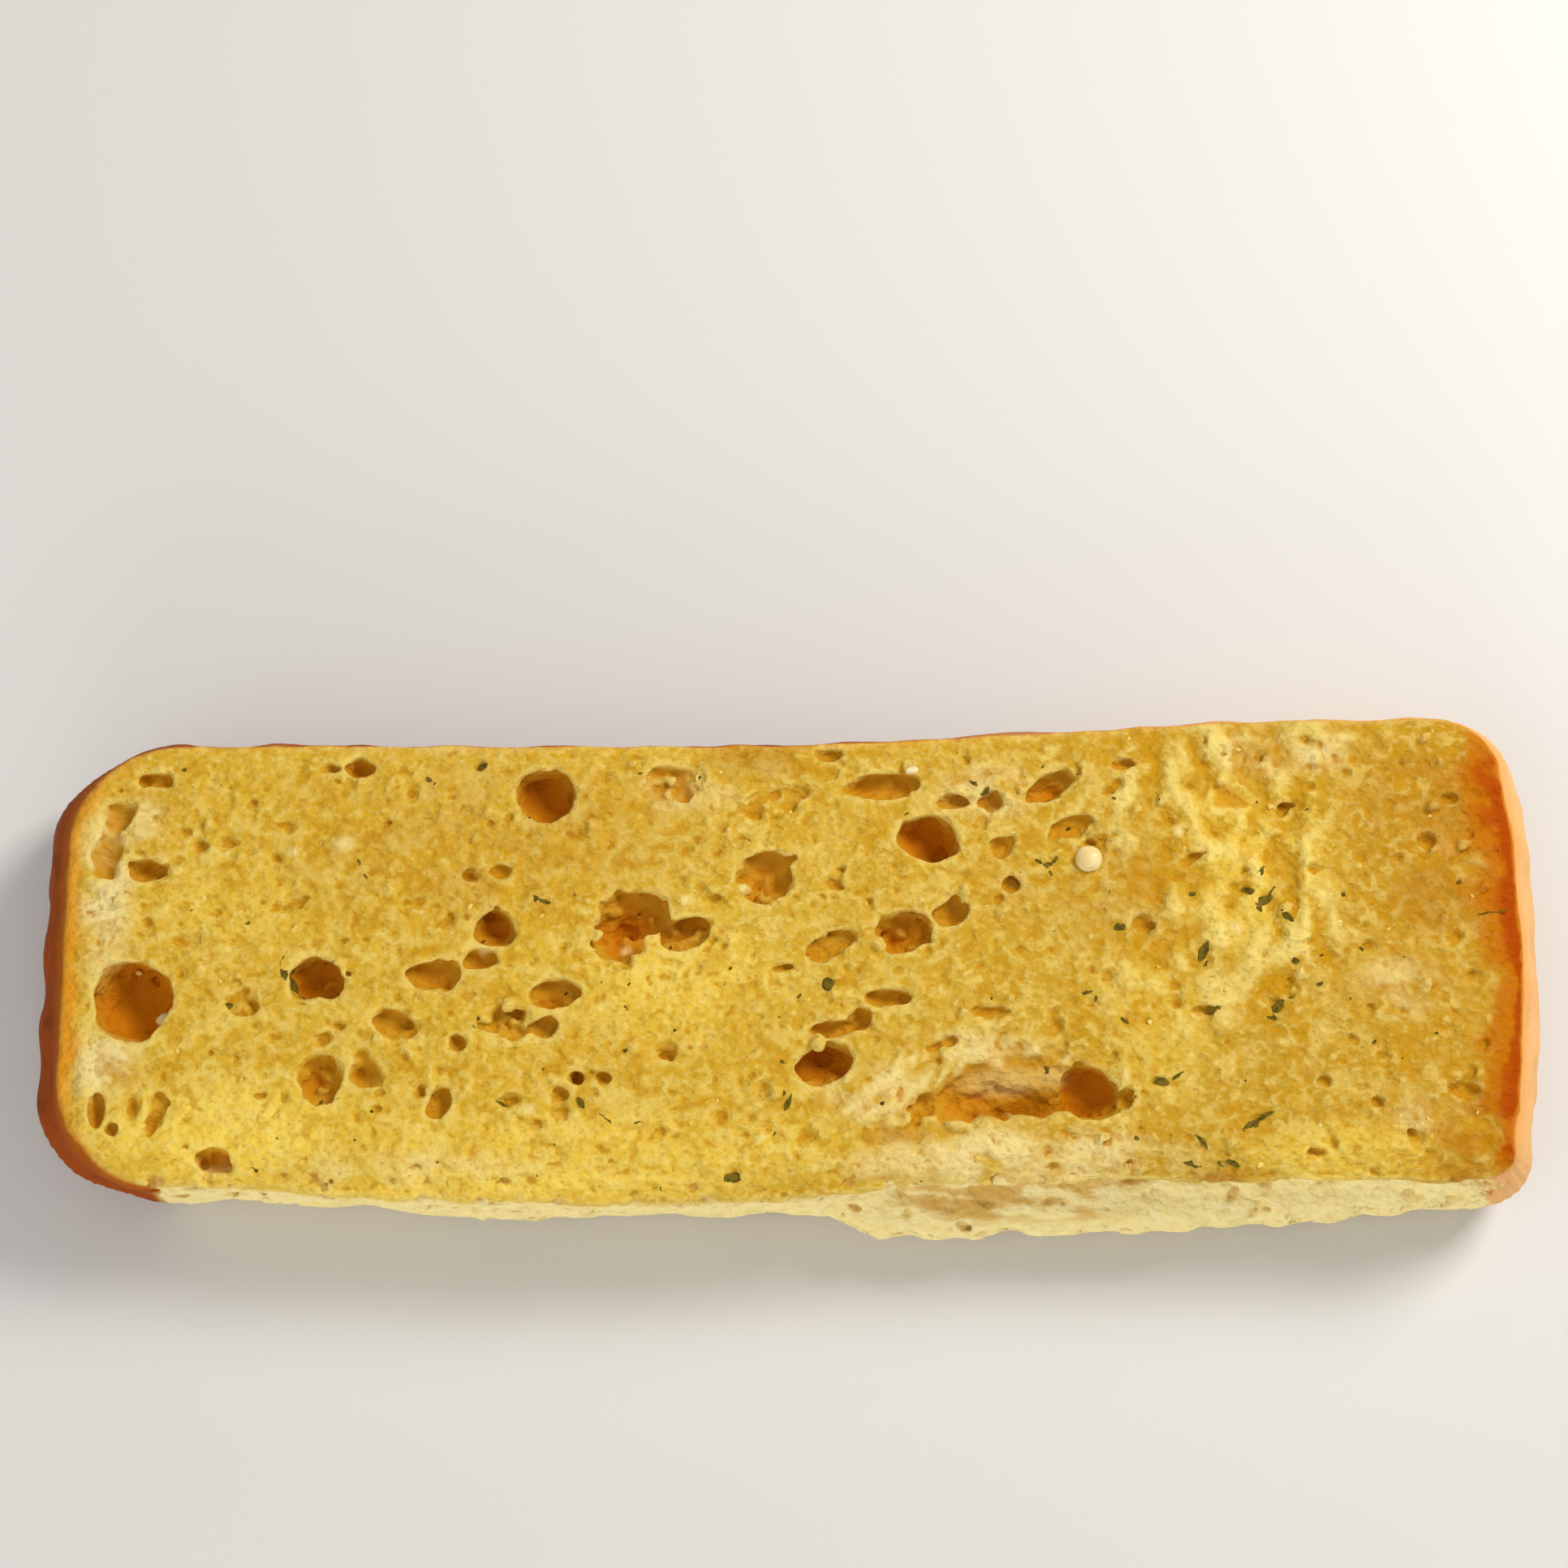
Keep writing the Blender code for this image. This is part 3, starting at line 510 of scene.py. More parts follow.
# What the material needs to know at each point: how deep it lies in a bubble or a pore, which browns it
# with pooled butter and painted shade, how far inside the loaf's skin, whether that side is torn, and how
# hollow its close surroundings are, which sets painted shade in pits and painted highlight on crests.
flat = np.empty(len(bread.data.vertices) * 3, np.float32)
bread.data.vertices.foreach_get("co", flat)
at = flat.reshape(-1, 3) / MM - SHIFT
cell = tuple(np.clip(((at - origin) / STEP).round().astype(int), 0, np.array(grid) - 1).T)


def blurred(values, radius):
    """Mean over a cube of that many voxels each way."""
    for axis in range(values.ndim):
        width = 2 * radius + 1
        padded = np.concatenate([np.repeat(values.take([0], axis), radius + 1, axis), values,
                                 np.repeat(values.take([-1], axis), radius, axis)], axis)
        total = np.cumsum(padded, axis, dtype=np.float32)
        n = values.shape[axis]
        values = (total.take(range(width, width + n), axis) - total.take(range(n), axis)) / width
    return values


solid = (field < 0).astype(np.float32)
below = (plain_height + clots)[cell[:2]] - at[:, 2]
inside = -skin[cell]
keep(bread, "sunk_mm", np.minimum(below, np.maximum(inside, 0.0) + 0.2))
keep(bread, "below_cut_mm", below)
torn_here = smooth(0.35, 0.65, torn[cell[:2]] + 0.3 * ragged[cell])
underside = 1.0 - smooth(0.5, 1.6, at[:, 2] - dimples[cell[:2]])
keep(bread, "underside", underside)
torn_skin = torn_here * (1.0 - smooth(2.2, 5.0, inside)) * smooth(0.4, 2.4, below)
keep(bread, "torn", (1.0 - underside) * torn_skin)
# Share of solid crumb round each point, for painted shade in pits and painted highlight on crests.
keep(bread, "hollow", blurred(solid, 2)[cell])
# Height of the smeared folds and the blade's step, for painted highlight on their tops and painted shade
# between them.
keep(bread, "folded", (clots + 0.3 * step)[cell[:2]] * (1.0 - smooth(0.6, 1.6, below)))

# The baked skin is about 1 mm thick, ends just under the cut and covers the underside too. Along the
# cut it browned the crumb: a dark band at the right end, a glowing one at the left, hardly any at the back.
nx, ny = rim_normals[owner[cell[:2]]].T
not_torn = 1.0 - torn_here
side_crust = not_torn * (1.0 - smooth(0.7, 1.5, inside)) * smooth(0.1, 1.0, below)
keep(bread, "crust", np.maximum(side_crust, underside))
to_right, to_left, to_back = (np.maximum(side, 0.0) ** 2 for side in (nx, -nx, ny))
width = 8.0 * to_right + (2.8 + 1.6 * smooth(0.0, -30.0, at[:, 1])) * to_left + 1.3 * to_back + 0.2
wavering = 0.3 * lattice_noise(grid[:2], (14.0, 14.0), 21) + 0.3 * lattice_noise(grid[:2], (4.0, 5.0), 22)
width *= 1.0 + wavering[cell[:2]]
most = to_right + 0.6 * to_left + 0.25 * to_back
band = most * (1.0 - smooth(0.1, 1.2, inside / width)) * (1.0 - smooth(0.2, 1.2, below))
keep(bread, "browned", not_torn * band)

# Where the crumb is bare of butter, where butter pooled, and where the grill caught it; two pale strips
# along the front rim are painted highlight, and one dark patch along the hollow's trough is painted shade
# under its front lip: (x, y, half length, half width, amount), and a turn in degrees where there is one.
BARE = [
    (-123.0, 14.0, 5.0, 13.0, 0.9), (-121.0, -18.0, 6.0, 7.0, 0.9), (-115.0, 24.0, 5.0, 7.0, 0.5),
    (-122.0, 2.0, 4.0, 8.0, 0.6), (31.0, -15.0, 12.0, 3.0, 0.6), (38.0, -34.0, 27.0, 5.0, 0.8),
    (33.0, 31.0, 9.0, 5.0, 0.6), (86.0, 38.0, 12.0, 4.5, 0.8), (-20.0, 31.0, 9.0, 4.0, 0.4),
    (14.0, -23.0, 9.0, 5.0, 0.6), (-68.0, -36.0, 22.0, 3.0, 0.45), (110.0, -27.0, 7.0, 3.0, 0.5),
    (106.0, -4.0, 8.0, 5.0, 0.5), (-58.0, 40.0, 20.0, 2.0, 0.3), (12.0, -35.0, 8.0, 3.0, 0.4),
]
BUTTERED_AND_RIM_HIGHLIGHT = [
    # The strips at y = -38.5 here and on the next line are painted highlight along the front rim.
    (-100.0, -30.0, 24.0, 9.0, 0.9), (-40.0, -32.0, 50.0, 6.0, 0.5), (-50.0, -38.5, 40.0, 3.0, 0.9),
    (-20.0, -2.0, 16.0, 12.0, 0.5), (80.0, 20.0, 14.0, 18.0, 0.6), (92.0, -38.5, 16.0, 2.0, 0.7),
    (98.0, -34.0, 20.0, 6.0, 0.6), (-100.0, 10.0, 12.0, 8.0, 0.3), (64.0, -10.0, 10.0, 14.0, 0.3),
]
TOASTED_AND_TROUGH_SHADE = [
    (114.0, 12.0, 10.0, 7.0, 0.5), (119.0, -31.0, 8.5, 7.0, 0.7), (112.0, 28.0, 13.0, 12.0, 0.4),
    (76.0, -37.5, 8.0, 1.6, 0.6), (117.0, -38.5, 10.0, 2.4, 0.7), (-56.0, 22.0, 40.0, 16.0, 0.25),
    (50.0, 14.0, 18.0, 10.0, 0.25), (-6.0, 38.0, 12.0, 5.0, 0.4), (38.0, -22.0, 12.0, 3.4, 0.4),
    # The patch at (38.6, -25.4) is painted shade in the hollow's trough under its front lip.
    (38.6, -25.4, 12.0, 1.8, 0.9, 4), (18.0, -30.4, 9.0, 1.4, 0.35),
]
# Curds of butter and torn shreds stay paler than the rest.
CURDS = [(x, y, 0.42 * length, 0.42 * width, 0.65, turn) for x, y, length, width, _, turn in SHREDS]
CURDS += [(36.0, -20.6, 8.0, 2.4, 0.4, 3), (44.0, -19.8, 4.0, 1.8, 0.35, 0)]
for name, patches in (("bare", BARE), ("buttered", BUTTERED_AND_RIM_HIGHLIGHT), ("toasted", TOASTED_AND_TROUGH_SHADE), ("curd", CURDS)):
    amount = np.zeros(len(at))
    for x, y, half_x, half_y, strength, *turn in patches:
        cos, sin = (f(math.radians(sum(turn))) for f in (math.cos, math.sin))
        gap_x, gap_y = at[:, 0] - x, at[:, 1] - y
        away = np.hypot((cos * gap_x + sin * gap_y) / half_x, (cos * gap_y - sin * gap_x) / half_y)
        amount = np.maximum(amount, strength * (1.0 - smooth(0.4, 1.4, away)))
    keep(bread, name, amount)


def srgb(code):
    """A linear colour from an sRGB hex value."""
    parts = [int(code[i:i + 2], 16) / 255 for i in (1, 3, 5)]
    return (*(p / 12.92 if p <= 0.04045 else ((p + 0.055) / 1.055) ** 2.4 for p in parts), 1.0)


def add(tree, kind, settings=None, inputs=None, out=None):
    """Adds a node with its properties and its inputs, which are values or sockets; returns its output."""
    node = tree.nodes.new(kind)
    for name, value in (settings or {}).items():
        setattr(node, name, value)
    for name, value in (inputs or {}).items():
        socket = next(s for s in node.inputs if name == s.identifier)
        if isinstance(value, (bpy.types.NodeSocket, list)):
            for source in value if isinstance(value, list) else [value]:
                tree.links.new(source, socket)
        else:
            is_hex = isinstance(value, str) and value.startswith("#")
            socket.default_value = srgb(value) if is_hex else value
    return next(s for s in node.outputs if s.enabled and out in (None, s.identifier))


def new_material(name, finish):
    """A material whose shader has that finish; returns it, its node tree and its shader."""
    made = bpy.data.materials.new(name)
    made.use_nodes = True
    shader = made.node_tree.nodes["Principled BSDF"]
    for socket, value in finish.items():
        shader.inputs[socket].default_value = value
    return made, made.node_tree, shader


def mix_layers(tree, colour, layers):
    """Lays each (share, colour) over the one before."""
    for share, over in layers:
        colour = add(
            tree, "ShaderNodeMix", {"data_type": "RGBA"},
            {"Factor_Float": share, "A_Color": colour, "B_Color": over}, "Result_Color",
        )
    return colour


# Wheat crumb soaked with butter: a golden sponge, nearly matt because its pores break up every shine,
# and browner in its pores and bubbles, partly from pooled butter and partly painted shade; crests and the
# tops of folds carry painted highlight, pits painted shade. The torn side is dry and cream-coloured, with
# painted shade in its pores and in the groove under the cut. The crust is a dull brown skin, its dark
# red-brown at the left end partly painted shade, pale tan at the right end and an even tan where it lay
# on the tray.
baked, tree, shader = new_material("buttered_wheat_bread", {
    "Roughness": 0.55, "Specular IOR Level": 0.03, "IOR": 1.4,
})
place = add(tree, "ShaderNodeTexCoord", out="Object")
sources = {"x": add(tree, "ShaderNodeSeparateXYZ", inputs={"Vector": place}, out="X")}
for name in (
    "sunk_mm", "below_cut_mm", "torn", "hollow", "folded", "crust", "underside", "browned",
    "bare", "buttered", "toasted", "curd",
):
    sources[name] = add(tree, "ShaderNodeAttribute", {"attribute_name": name}, out="Fac")

# Patterns, by the size of their features in millimetres, drawn out a little along the loaf's grain.
stretched = add(
    tree, "ShaderNodeMapping", {}, {"Vector": place, "Rotation": (0.0, 0.0, -0.42), "Scale": (0.8, 1.0, 1.0)}
)
for name, size_mm, detail in (
    ("drift", 24.0, 1.0), ("patches", 6.0, 2.0), ("mottle", 2.4, 2.0), ("speckle", 0.9, 1.0),
):
    sources[name] = add(
        tree, "ShaderNodeTexNoise", {}, {"Vector": stretched, "Scale": 1000.0 / size_mm, "Detail": detail}
    )
drawn_out = add(tree, "ShaderNodeMapping", {}, {"Vector": place, "Scale": (0.35, 1.0, 1.0)})
sources["fibres"] = add(
    tree, "ShaderNodeTexNoise", {}, {"Vector": drawn_out, "Scale": 1000.0 / 3.2, "Detail": 3.0}
)
sources["cells"] = add(
    tree, "ShaderNodeTexVoronoi", {}, {"Vector": stretched, "Scale": 1000.0 / 1.5}, "Distance"
)

# Each mask rises from 0 where its source is low to most where it is high; x is in metres.
masks = {}
for name, source, low, high, most in (
    ("warm", "drift", 0.38, 0.62, 0.6),
    ("right", "x", -0.06, 0.11, 1.0),
    ("pale_spots", "mottle", 0.50, 0.80, 0.34),
    ("amber_spots", "mottle", 0.50, 0.22, 0.34),
    ("pale_grain", "speckle", 0.50, 0.78, 0.32),
    ("amber_grain", "speckle", 0.50, 0.24, 0.3),
    ("pale_patches", "patches", 0.50, 0.72, 0.32),
    ("amber_patches", "patches", 0.48, 0.30, 0.42),
    ("raised", "hollow", 0.50, 0.34, 0.42),
    ("pitted", "hollow", 0.52, 0.66, 0.8),
    ("fold_tops", "folded", 0.0, 0.6, 0.55),
    ("fold_pits", "folded", 0.0, -0.5, 0.75),
    ("fine_pores", "cells", 0.30, 0.08, 0.4),
    ("shallow", "sunk_mm", 0.4, 2.0, 0.8),
    ("deep", "sunk_mm", 2.0, 6.0, 0.85),
    ("patchy", "patches", 0.30, 0.58, 1.0),
    ("spots", "patches", 0.50, 0.66, 0.7),
    ("near_cut", "below_cut_mm", 5.0, 0.5, 0.6),
    ("glow", "browned", 0.0, 0.8, 0.9),
    ("scorched", "browned", 0.8, 1.0, 0.85),
    ("right_end", "x", -0.01, 0.125, 1.0),
    ("end_haze", "x", 0.088, 0.126, 0.4),
    ("streaky", "fibres", 0.40, 0.58, 1.0),
    # Where the groove under the cut runs along the torn front, for painted shade in it.
    ("slot", "below_cut_mm", 3.0, 5.5, 0.75),
    ("above_lip", "below_cut_mm", 11.0, 8.5, 1.0),
    ("middle_left", "x", 0.012, 0.026, 1.0),
    ("middle_right", "x", 0.064, 0.052, 1.0),
):
    masks[name] = add(
        tree, "ShaderNodeMapRange", {"interpolation_type": "SMOOTHSTEP"},
        {"Value": sources[source], "From Min": low, "From Max": high, "To Min": 0.0, "To Max": most},
        "Result",
    )
for name, one, other in (
    ("bare_crumb", "bare", "patchy"),
    ("grilled", "toasted", "patchy"),
    ("slot_band", "slot", "above_lip"),
    ("slot_half", "slot_band", "middle_left"),
    ("slot_part", "slot_half", "middle_right"),
    ("in_slot", "slot_part", "streaky"),
):
    known = {**sources, **masks}
    masks[name] = add(
        tree, "ShaderNodeMath", {"operation": "MULTIPLY"}, {"Value": known[one], "Value_001": known[other]}
    )

crumb = mix_layers(tree, "#D6AE38", [
    (masks["warm"], "#CFA42C"),
    (masks["right"], "#BC9228"),
    # Pooled butter, and painted highlight along the front rim.
    (sources["buttered"], "#F0CE50"),
    (masks["pale_patches"], "#E4C864"),
    (masks["amber_patches"], "#C89A24"),
    (masks["bare_crumb"], "#ECD898"),
    (masks["pale_spots"], "#E8CE6C"),
    (masks["amber_spots"], "#BE8C18"),
    (masks["pale_grain"], "#EDD884"),
    (masks["amber_grain"], "#C0901E"),
    (masks["end_haze"], "#B8800E"),
    # Painted shade between the folds and painted highlight on their tops and along the blade's step.
    (masks["fold_pits"], "#BE8A10"),
    (masks["fold_tops"], "#EDD87E"),
    # Painted highlight on crests and painted shade in pits.
    (masks["raised"], "#EBD47A"),
    (masks["pitted"], "#BC8410"),
    # Fine pores, and pores and bubbles by their depth, turn browner: partly pooled butter, partly painted
    # shade.
    (masks["fine_pores"], "#B47C10"),
    (masks["shallow"], "#C68C18"),
    (masks["deep"], "#C67408"),
    # Grill marks, and painted shade in the hollow's trough.
    (masks["grilled"], "#A66404"),
    (sources["curd"], "#EBD68A"),
])
torn_crumb = mix_layers(tree, "#F3E09A", [
    (masks["amber_spots"], "#DDBE66"),
    (masks["pale_spots"], "#F6ECC4"),
    # Painted shade in the groove under the cut.
    (masks["in_slot"], "#C8942C"),
    # Painted shade in the torn side's pores, darker the deeper they go.
    (masks["shallow"], "#E2C272"),
    (masks["deep"], "#BE8E36"),
])
pale_crust = mix_layers(tree, "#EAB476", [(masks["spots"], "#E2AC6C"), (masks["near_cut"], "#E89C4C")])
tray_side = mix_layers(tree, "#B47838", [(masks["spots"], "#9A5C24")])
# Dark red-brown at the left end, partly its own bake and partly painted shade; pale tan towards the right
# end.
crust = mix_layers(tree, "#96440A", [
    (masks["spots"], "#7A3608"),
    (masks["near_cut"], "#B8661A"),
    (masks["right_end"], pale_crust),
    (sources["underside"], tray_side),
])
toasting = mix_layers(tree, "#E28E14", [(masks["right_end"], "#B86604")])
colour = mix_layers(tree, crumb, [
    (sources["torn"], torn_crumb),
    (sources["crust"], crust),
    (masks["glow"], toasting),
    (masks["scorched"], "#A43A00"),
])
tree.links.new(colour, shader.inputs["Base Color"])
relief = add(
    tree, "ShaderNodeMapRange", {}, {"Value": sources["crust"], "To Min": 0.65, "To Max": 0.2}, "Result"
)
bumps = {"Strength": relief, "Distance": 0.6 * MM}
normal = add(tree, "ShaderNodeBump", {}, {**bumps, "Height": sources["cells"]})
normal = add(tree, "ShaderNodeBump", {}, {**bumps, "Height": sources["speckle"], "Normal": normal})
tree.links.new(normal, shader.inputs["Normal"])
bread.data.materials.append(baked)
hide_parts("garlic_bread")
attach(bread, "root")

# --- Parsley ---------------------------------------------------------------------------------
# Dried parsley from the garlic butter: flat torn bits of leaf 2 to 5 mm long, some bare stalks,
# and specks down to 0.4 mm. They lie in the butter and follow the crumb under them.

# The crumb's top without its pores, which the toppings lie on. It stops RIM_GAP mm short of the rim.
tops = np.where(solid.any(axis=2), zs[grid[2] - 1 - np.argmax(solid[:, :, ::-1] > 0, axis=2)], 0.0)
tops = np.maximum(tops, blurred(tops, 2))
rows = np.arange(8, grid[0] - 8, 3)
columns = np.arange(6, grid[1] - 6, 3)
spaced = np.ix_(rows, columns)
RIM_GAP = 1.4
numbers = np.arange(len(rows) * len(columns)).reshape(len(rows), len(columns))
quads = np.stack([numbers[:-1, :-1], numbers[1:, :-1], numbers[1:, 1:], numbers[:-1, 1:]], axis=-1)
quads = quads.reshape(-1, 4)
lies_in = (-out_of_rim)[spaced].ravel()[quads].min(axis=1) > RIM_GAP
top_points = np.stack([plan_x[spaced], plan_y[spaced], tops[spaced]], -1).reshape(-1, 3)
face_top = new_object("face_top", top_points, quads[lies_in])

# Each flake: (x, y, length, width, turn), mm and degrees.
PARSLEY = [
    (-90.2, -0.2, 5.0, 2.6, 80), (-89.6, -3.8, 4.6, 2.0, 105), (-87.2, -6.4, 3.4, 1.4, 150),
    (-100.4, -7.4, 1.6, 1.1, 0), (-47.6, 11.4, 3.2, 1.7, 10), (-44.9, 11.2, 2.4, 0.9, -10),
    (-77.4, 16.8, 4.4, 0.5, -62), (-56.4, 35.8, 1.8, 1.0, 20), (-65.7, 33.1, 2.2, 0.8, -30),
    (-61.7, 32.6, 1.8, 0.7, 40), (5.2, -3.6, 2.2, 2.8, 15), (-30.5, -8.1, 1.0, 0.8, 0),
    (-21.9, -12.0, 1.3, 0.8, 10), (-38.1, -24.5, 2.4, 0.9, -60), (-33.8, -27.4, 3.0, 0.5, -40),
    (-29.6, -24.8, 1.0, 0.8, 0), (-28.1, -28.0, 1.6, 0.6, 30), (-51.6, -24.8, 3.0, 0.5, -25),
    (-11.4, -37.7, 3.4, 1.6, 5), (-1.9, -24.8, 3.6, 0.8, 65), (14.7, -24.8, 0.9, 0.8, 0),
    (44.4, 17.9, 3.2, 0.7, 20), (42.6, 18.6, 2.4, 0.6, -35), (44.6, 16.6, 2.2, 0.8, -60),
    (46.0, 19.2, 1.8, 0.6, 50), (33.6, 31.2, 2.4, 1.0, 35), (31.4, 32.6, 1.8, 0.7, -20),
    (44.5, 35.6, 2.0, 0.9, 15), (51.0, 34.1, 2.4, 0.7, -15), (56.9, 6.6, 2.2, 1.5, 10),
    (62.4, 5.8, 1.5, 0.9, 30), (50.2, -5.3, 3.4, 0.8, 12), (53.0, -5.9, 2.4, 1.3, 35),
    (57.3, -10.1, 1.6, 0.7, -30), (38.8, -6.5, 1.2, 0.7, 0), (16.7, -1.6, 1.0, 0.8, 0),
    (43.5, -18.6, 1.5, 1.5, 20), (64.0, -20.9, 3.6, 1.2, -12), (66.6, -19.8, 2.4, 0.6, 30),
    (71.6, 2.2, 4.0, 1.6, 66), (72.4, 0.2, 2.0, 0.9, 30), (73.0, -8.1, 3.0, 0.8, 15),
    (80.4, 12.8, 3.4, 1.4, -25), (82.6, 11.4, 3.6, 1.6, 25), (84.0, 12.6, 2.6, 1.1, 70),
    (81.6, 10.2, 2.4, 1.0, -60), (86.4, 8.3, 3.0, 1.2, -40), (82.1, 16.4, 2.6, 0.9, 60),
    (87.6, 0.3, 1.4, 1.2, 0), (91.7, -3.6, 1.3, 1.0, 0), (84.4, -7.6, 3.2, 1.6, 50),
    (86.0, -6.2, 2.6, 0.9, 10), (83.2, -9.4, 2.2, 1.1, -20), (96.6, 12.3, 1.2, 1.0, 0),
    (70.0, 12.7, 1.4, 1.0, 0), (79.0, -28.6, 3.2, 1.5, 30), (81.6, -26.8, 3.4, 0.8, 25),
    (70.6, -31.6, 3.8, 0.7, -50), (73.0, -34.4, 3.8, 0.6, -48), (76.0, -35.0, 2.8, 1.2, -20),
    (69.0, -35.2, 3.4, 0.9, -12), (57.0, -31.1, 1.1, 1.0, 0), (58.9, -30.9, 0.9, 0.8, 0),
    (117.6, 14.9, 1.6, 0.8, 20), (123.0, 9.2, 6.0, 0.5, 8), (-95.1, -36.2, 1.8, 0.8, 0),
    (101.0, -14.0, 1.2, 0.7, 40), (27.0, -1.0, 1.1, 0.6, -30), (0.0, -5.6, 1.1, 1.0, 0),
]
carrier = new_object("parsley", [(x, y, 0.0) for x, y, *_ in PARSLEY], [])
draw = np.random.default_rng(31)
keep(carrier, "size", [
    (0.95 * length * MM, 0.95 * width * MM, 1.0) for *_, length, width, _ in PARSLEY
], "FLOAT_VECTOR")
keep(carrier, "turn", [
    (draw.normal(0.0, 0.12), draw.normal(0.0, 0.10), math.radians(turn)) for *_, turn in PARSLEY
], "FLOAT_VECTOR")


def new_tree(name, sizes):
    """A geometry node tree that takes a mesh and those sizes; returns it, its inputs and its output."""
    made = bpy.data.node_groups.new(name, "GeometryNodeTree")
    made.interface.new_socket("Geometry", in_out="INPUT", socket_type="NodeSocketGeometry")
    made.interface.new_socket("Geometry", in_out="OUTPUT", socket_type="NodeSocketGeometry")
    for size, kind in sizes:
        made.interface.new_socket(size, in_out="INPUT", socket_type=kind)
    given = made.nodes.new("NodeGroupInput")
    result = made.nodes.new("NodeGroupOutput")
    return made, {socket.name: socket for socket in given.outputs if socket.name}, result


def grow(obj, tree, values):
    """Runs the tree on the object with those inputs and keeps the mesh that it makes."""
    modifier = obj.modifiers.new(tree.name, "NODES")
    modifier.node_group = tree
    for item in tree.interface.items_tree:
        if item.in_out == "INPUT" and item.name in values:
            modifier[item.identifier] = values[item.name]
    apply_modifiers(obj)


tree, given, result = new_tree("parsley_flakes", [
    ("Top", "NodeSocketObject"), ("Thickness", "NodeSocketFloat"), ("Curl", "NodeSocketFloat"),
    ("Ragged", "NodeSocketFloat"), ("Specks", "NodeSocketFloat"), ("Smallest", "NodeSocketFloat"),
    ("Largest", "NodeSocketFloat"), ("Seed", "NodeSocketInt"), ("Material", "NodeSocketMaterial"),
])
spot = add(tree, "GeometryNodeInputPosition")
axes = add(tree, "ShaderNodeSeparateXYZ", {}, {"Vector": spot}).node.outputs
squared = add(tree, "ShaderNodeMath", {"operation": "MULTIPLY"}, {"Value": axes["X"], "Value_001": axes["X"]})
taper = add(
    tree, "ShaderNodeMath", {"operation": "MULTIPLY_ADD"},
    {"Value": squared, "Value_001": -3.0, "Value_002": 1.0},
)
taper = add(tree, "ShaderNodeCombineXYZ", {}, {"X": 1.0, "Y": taper, "Z": given["Thickness"]})
outline = add(tree, "ShaderNodeVectorMath", {"operation": "MULTIPLY"}, {"Vector": spot, "Vector_001": taper})
leaf = add(tree, "GeometryNodeMeshCube", {}, {"Vertices X": 7, "Vertices Y": 4, "Vertices Z": 2}, "Mesh")
leaf = add(tree, "GeometryNodeSetPosition", {}, {"Geometry": leaf, "Position": outline})

top = add(tree, "GeometryNodeObjectInfo", {}, {"Object": given["Top"]}, "Geometry")
specks = add(
    tree, "GeometryNodeDistributePointsOnFaces", {},
    {"Mesh": top, "Density": given["Specks"], "Seed": given["Seed"]}, "Points",
)
flat_spot = add(
    tree, "ShaderNodeVectorMath", {"operation": "MULTIPLY"}, {"Vector": spot, "Vector_001": (1.0, 1.0, 0.0)}
)
specks = add(tree, "GeometryNodeSetPosition", {}, {"Geometry": specks, "Position": flat_spot})
long_side = add(
    tree, "FunctionNodeRandomValue", {"data_type": "FLOAT"},
    {"Min_001": given["Smallest"], "Max_001": given["Largest"], "Seed": given["Seed"]}, "Value_001",
)
short_side = add(tree, "ShaderNodeMath", {"operation": "MULTIPLY"}, {"Value": long_side, "Value_001": 0.6})
speck_size = add(tree, "ShaderNodeCombineXYZ", {}, {"X": long_side, "Y": short_side, "Z": 1.0})
speck_turn = add(
    tree, "FunctionNodeRandomValue", {"data_type": "FLOAT_VECTOR"},
    {"Min": (0.0, 0.0, 0.0), "Max": (0.0, 0.0, 6.28), "Seed": given["Seed"]}, "Value",
)
size, turn = (
    add(tree, "GeometryNodeInputNamedAttribute", {"data_type": "FLOAT_VECTOR"}, {"Name": name}, "Attribute")
    for name in ("size", "turn")
)
laid = []
for places, scale, turned in ((given["Geometry"], size, turn), (specks, speck_size, speck_turn)):
    turned = add(tree, "FunctionNodeEulerToRotation", {}, {"Euler": turned})
    laid.append(add(
        tree, "GeometryNodeInstanceOnPoints", {},
        {"Points": places, "Instance": leaf, "Scale": scale, "Rotation": turned},
    ))
both = add(tree, "GeometryNodeJoinGeometry", {}, {"Geometry": laid})
shade = add(
    tree, "FunctionNodeRandomValue", {"data_type": "FLOAT"}, {"Min_001": 0.0, "Max_001": 1.0, "Seed": 7},
    "Value_001",
)
both = add(
    tree, "GeometryNodeStoreNamedAttribute", {"data_type": "FLOAT", "domain": "INSTANCE"},
    {"Geometry": both, "Name": "shade", "Value": shade},
)
above = add(
    tree, "ShaderNodeVectorMath", {"operation": "ADD"}, {"Vector": spot, "Vector_001": (0.0, 0.0, 0.1)}
)
under = add(
    tree, "GeometryNodeRaycast", {},
    {"Target Geometry": top, "Source Position": above, "Ray Direction": (0.0, 0.0, -1.0), "Ray Length": 0.2},
    "Hit Position",
)
ground = add(tree, "ShaderNodeSeparateXYZ", {}, {"Vector": under}, "Z")
both = add(
    tree, "GeometryNodeStoreNamedAttribute", {"data_type": "FLOAT", "domain": "INSTANCE"},
    {"Geometry": both, "Name": "middle_lies_at", "Value": ground},
)
both = add(tree, "GeometryNodeRealizeInstances", {}, {"Geometry": both})

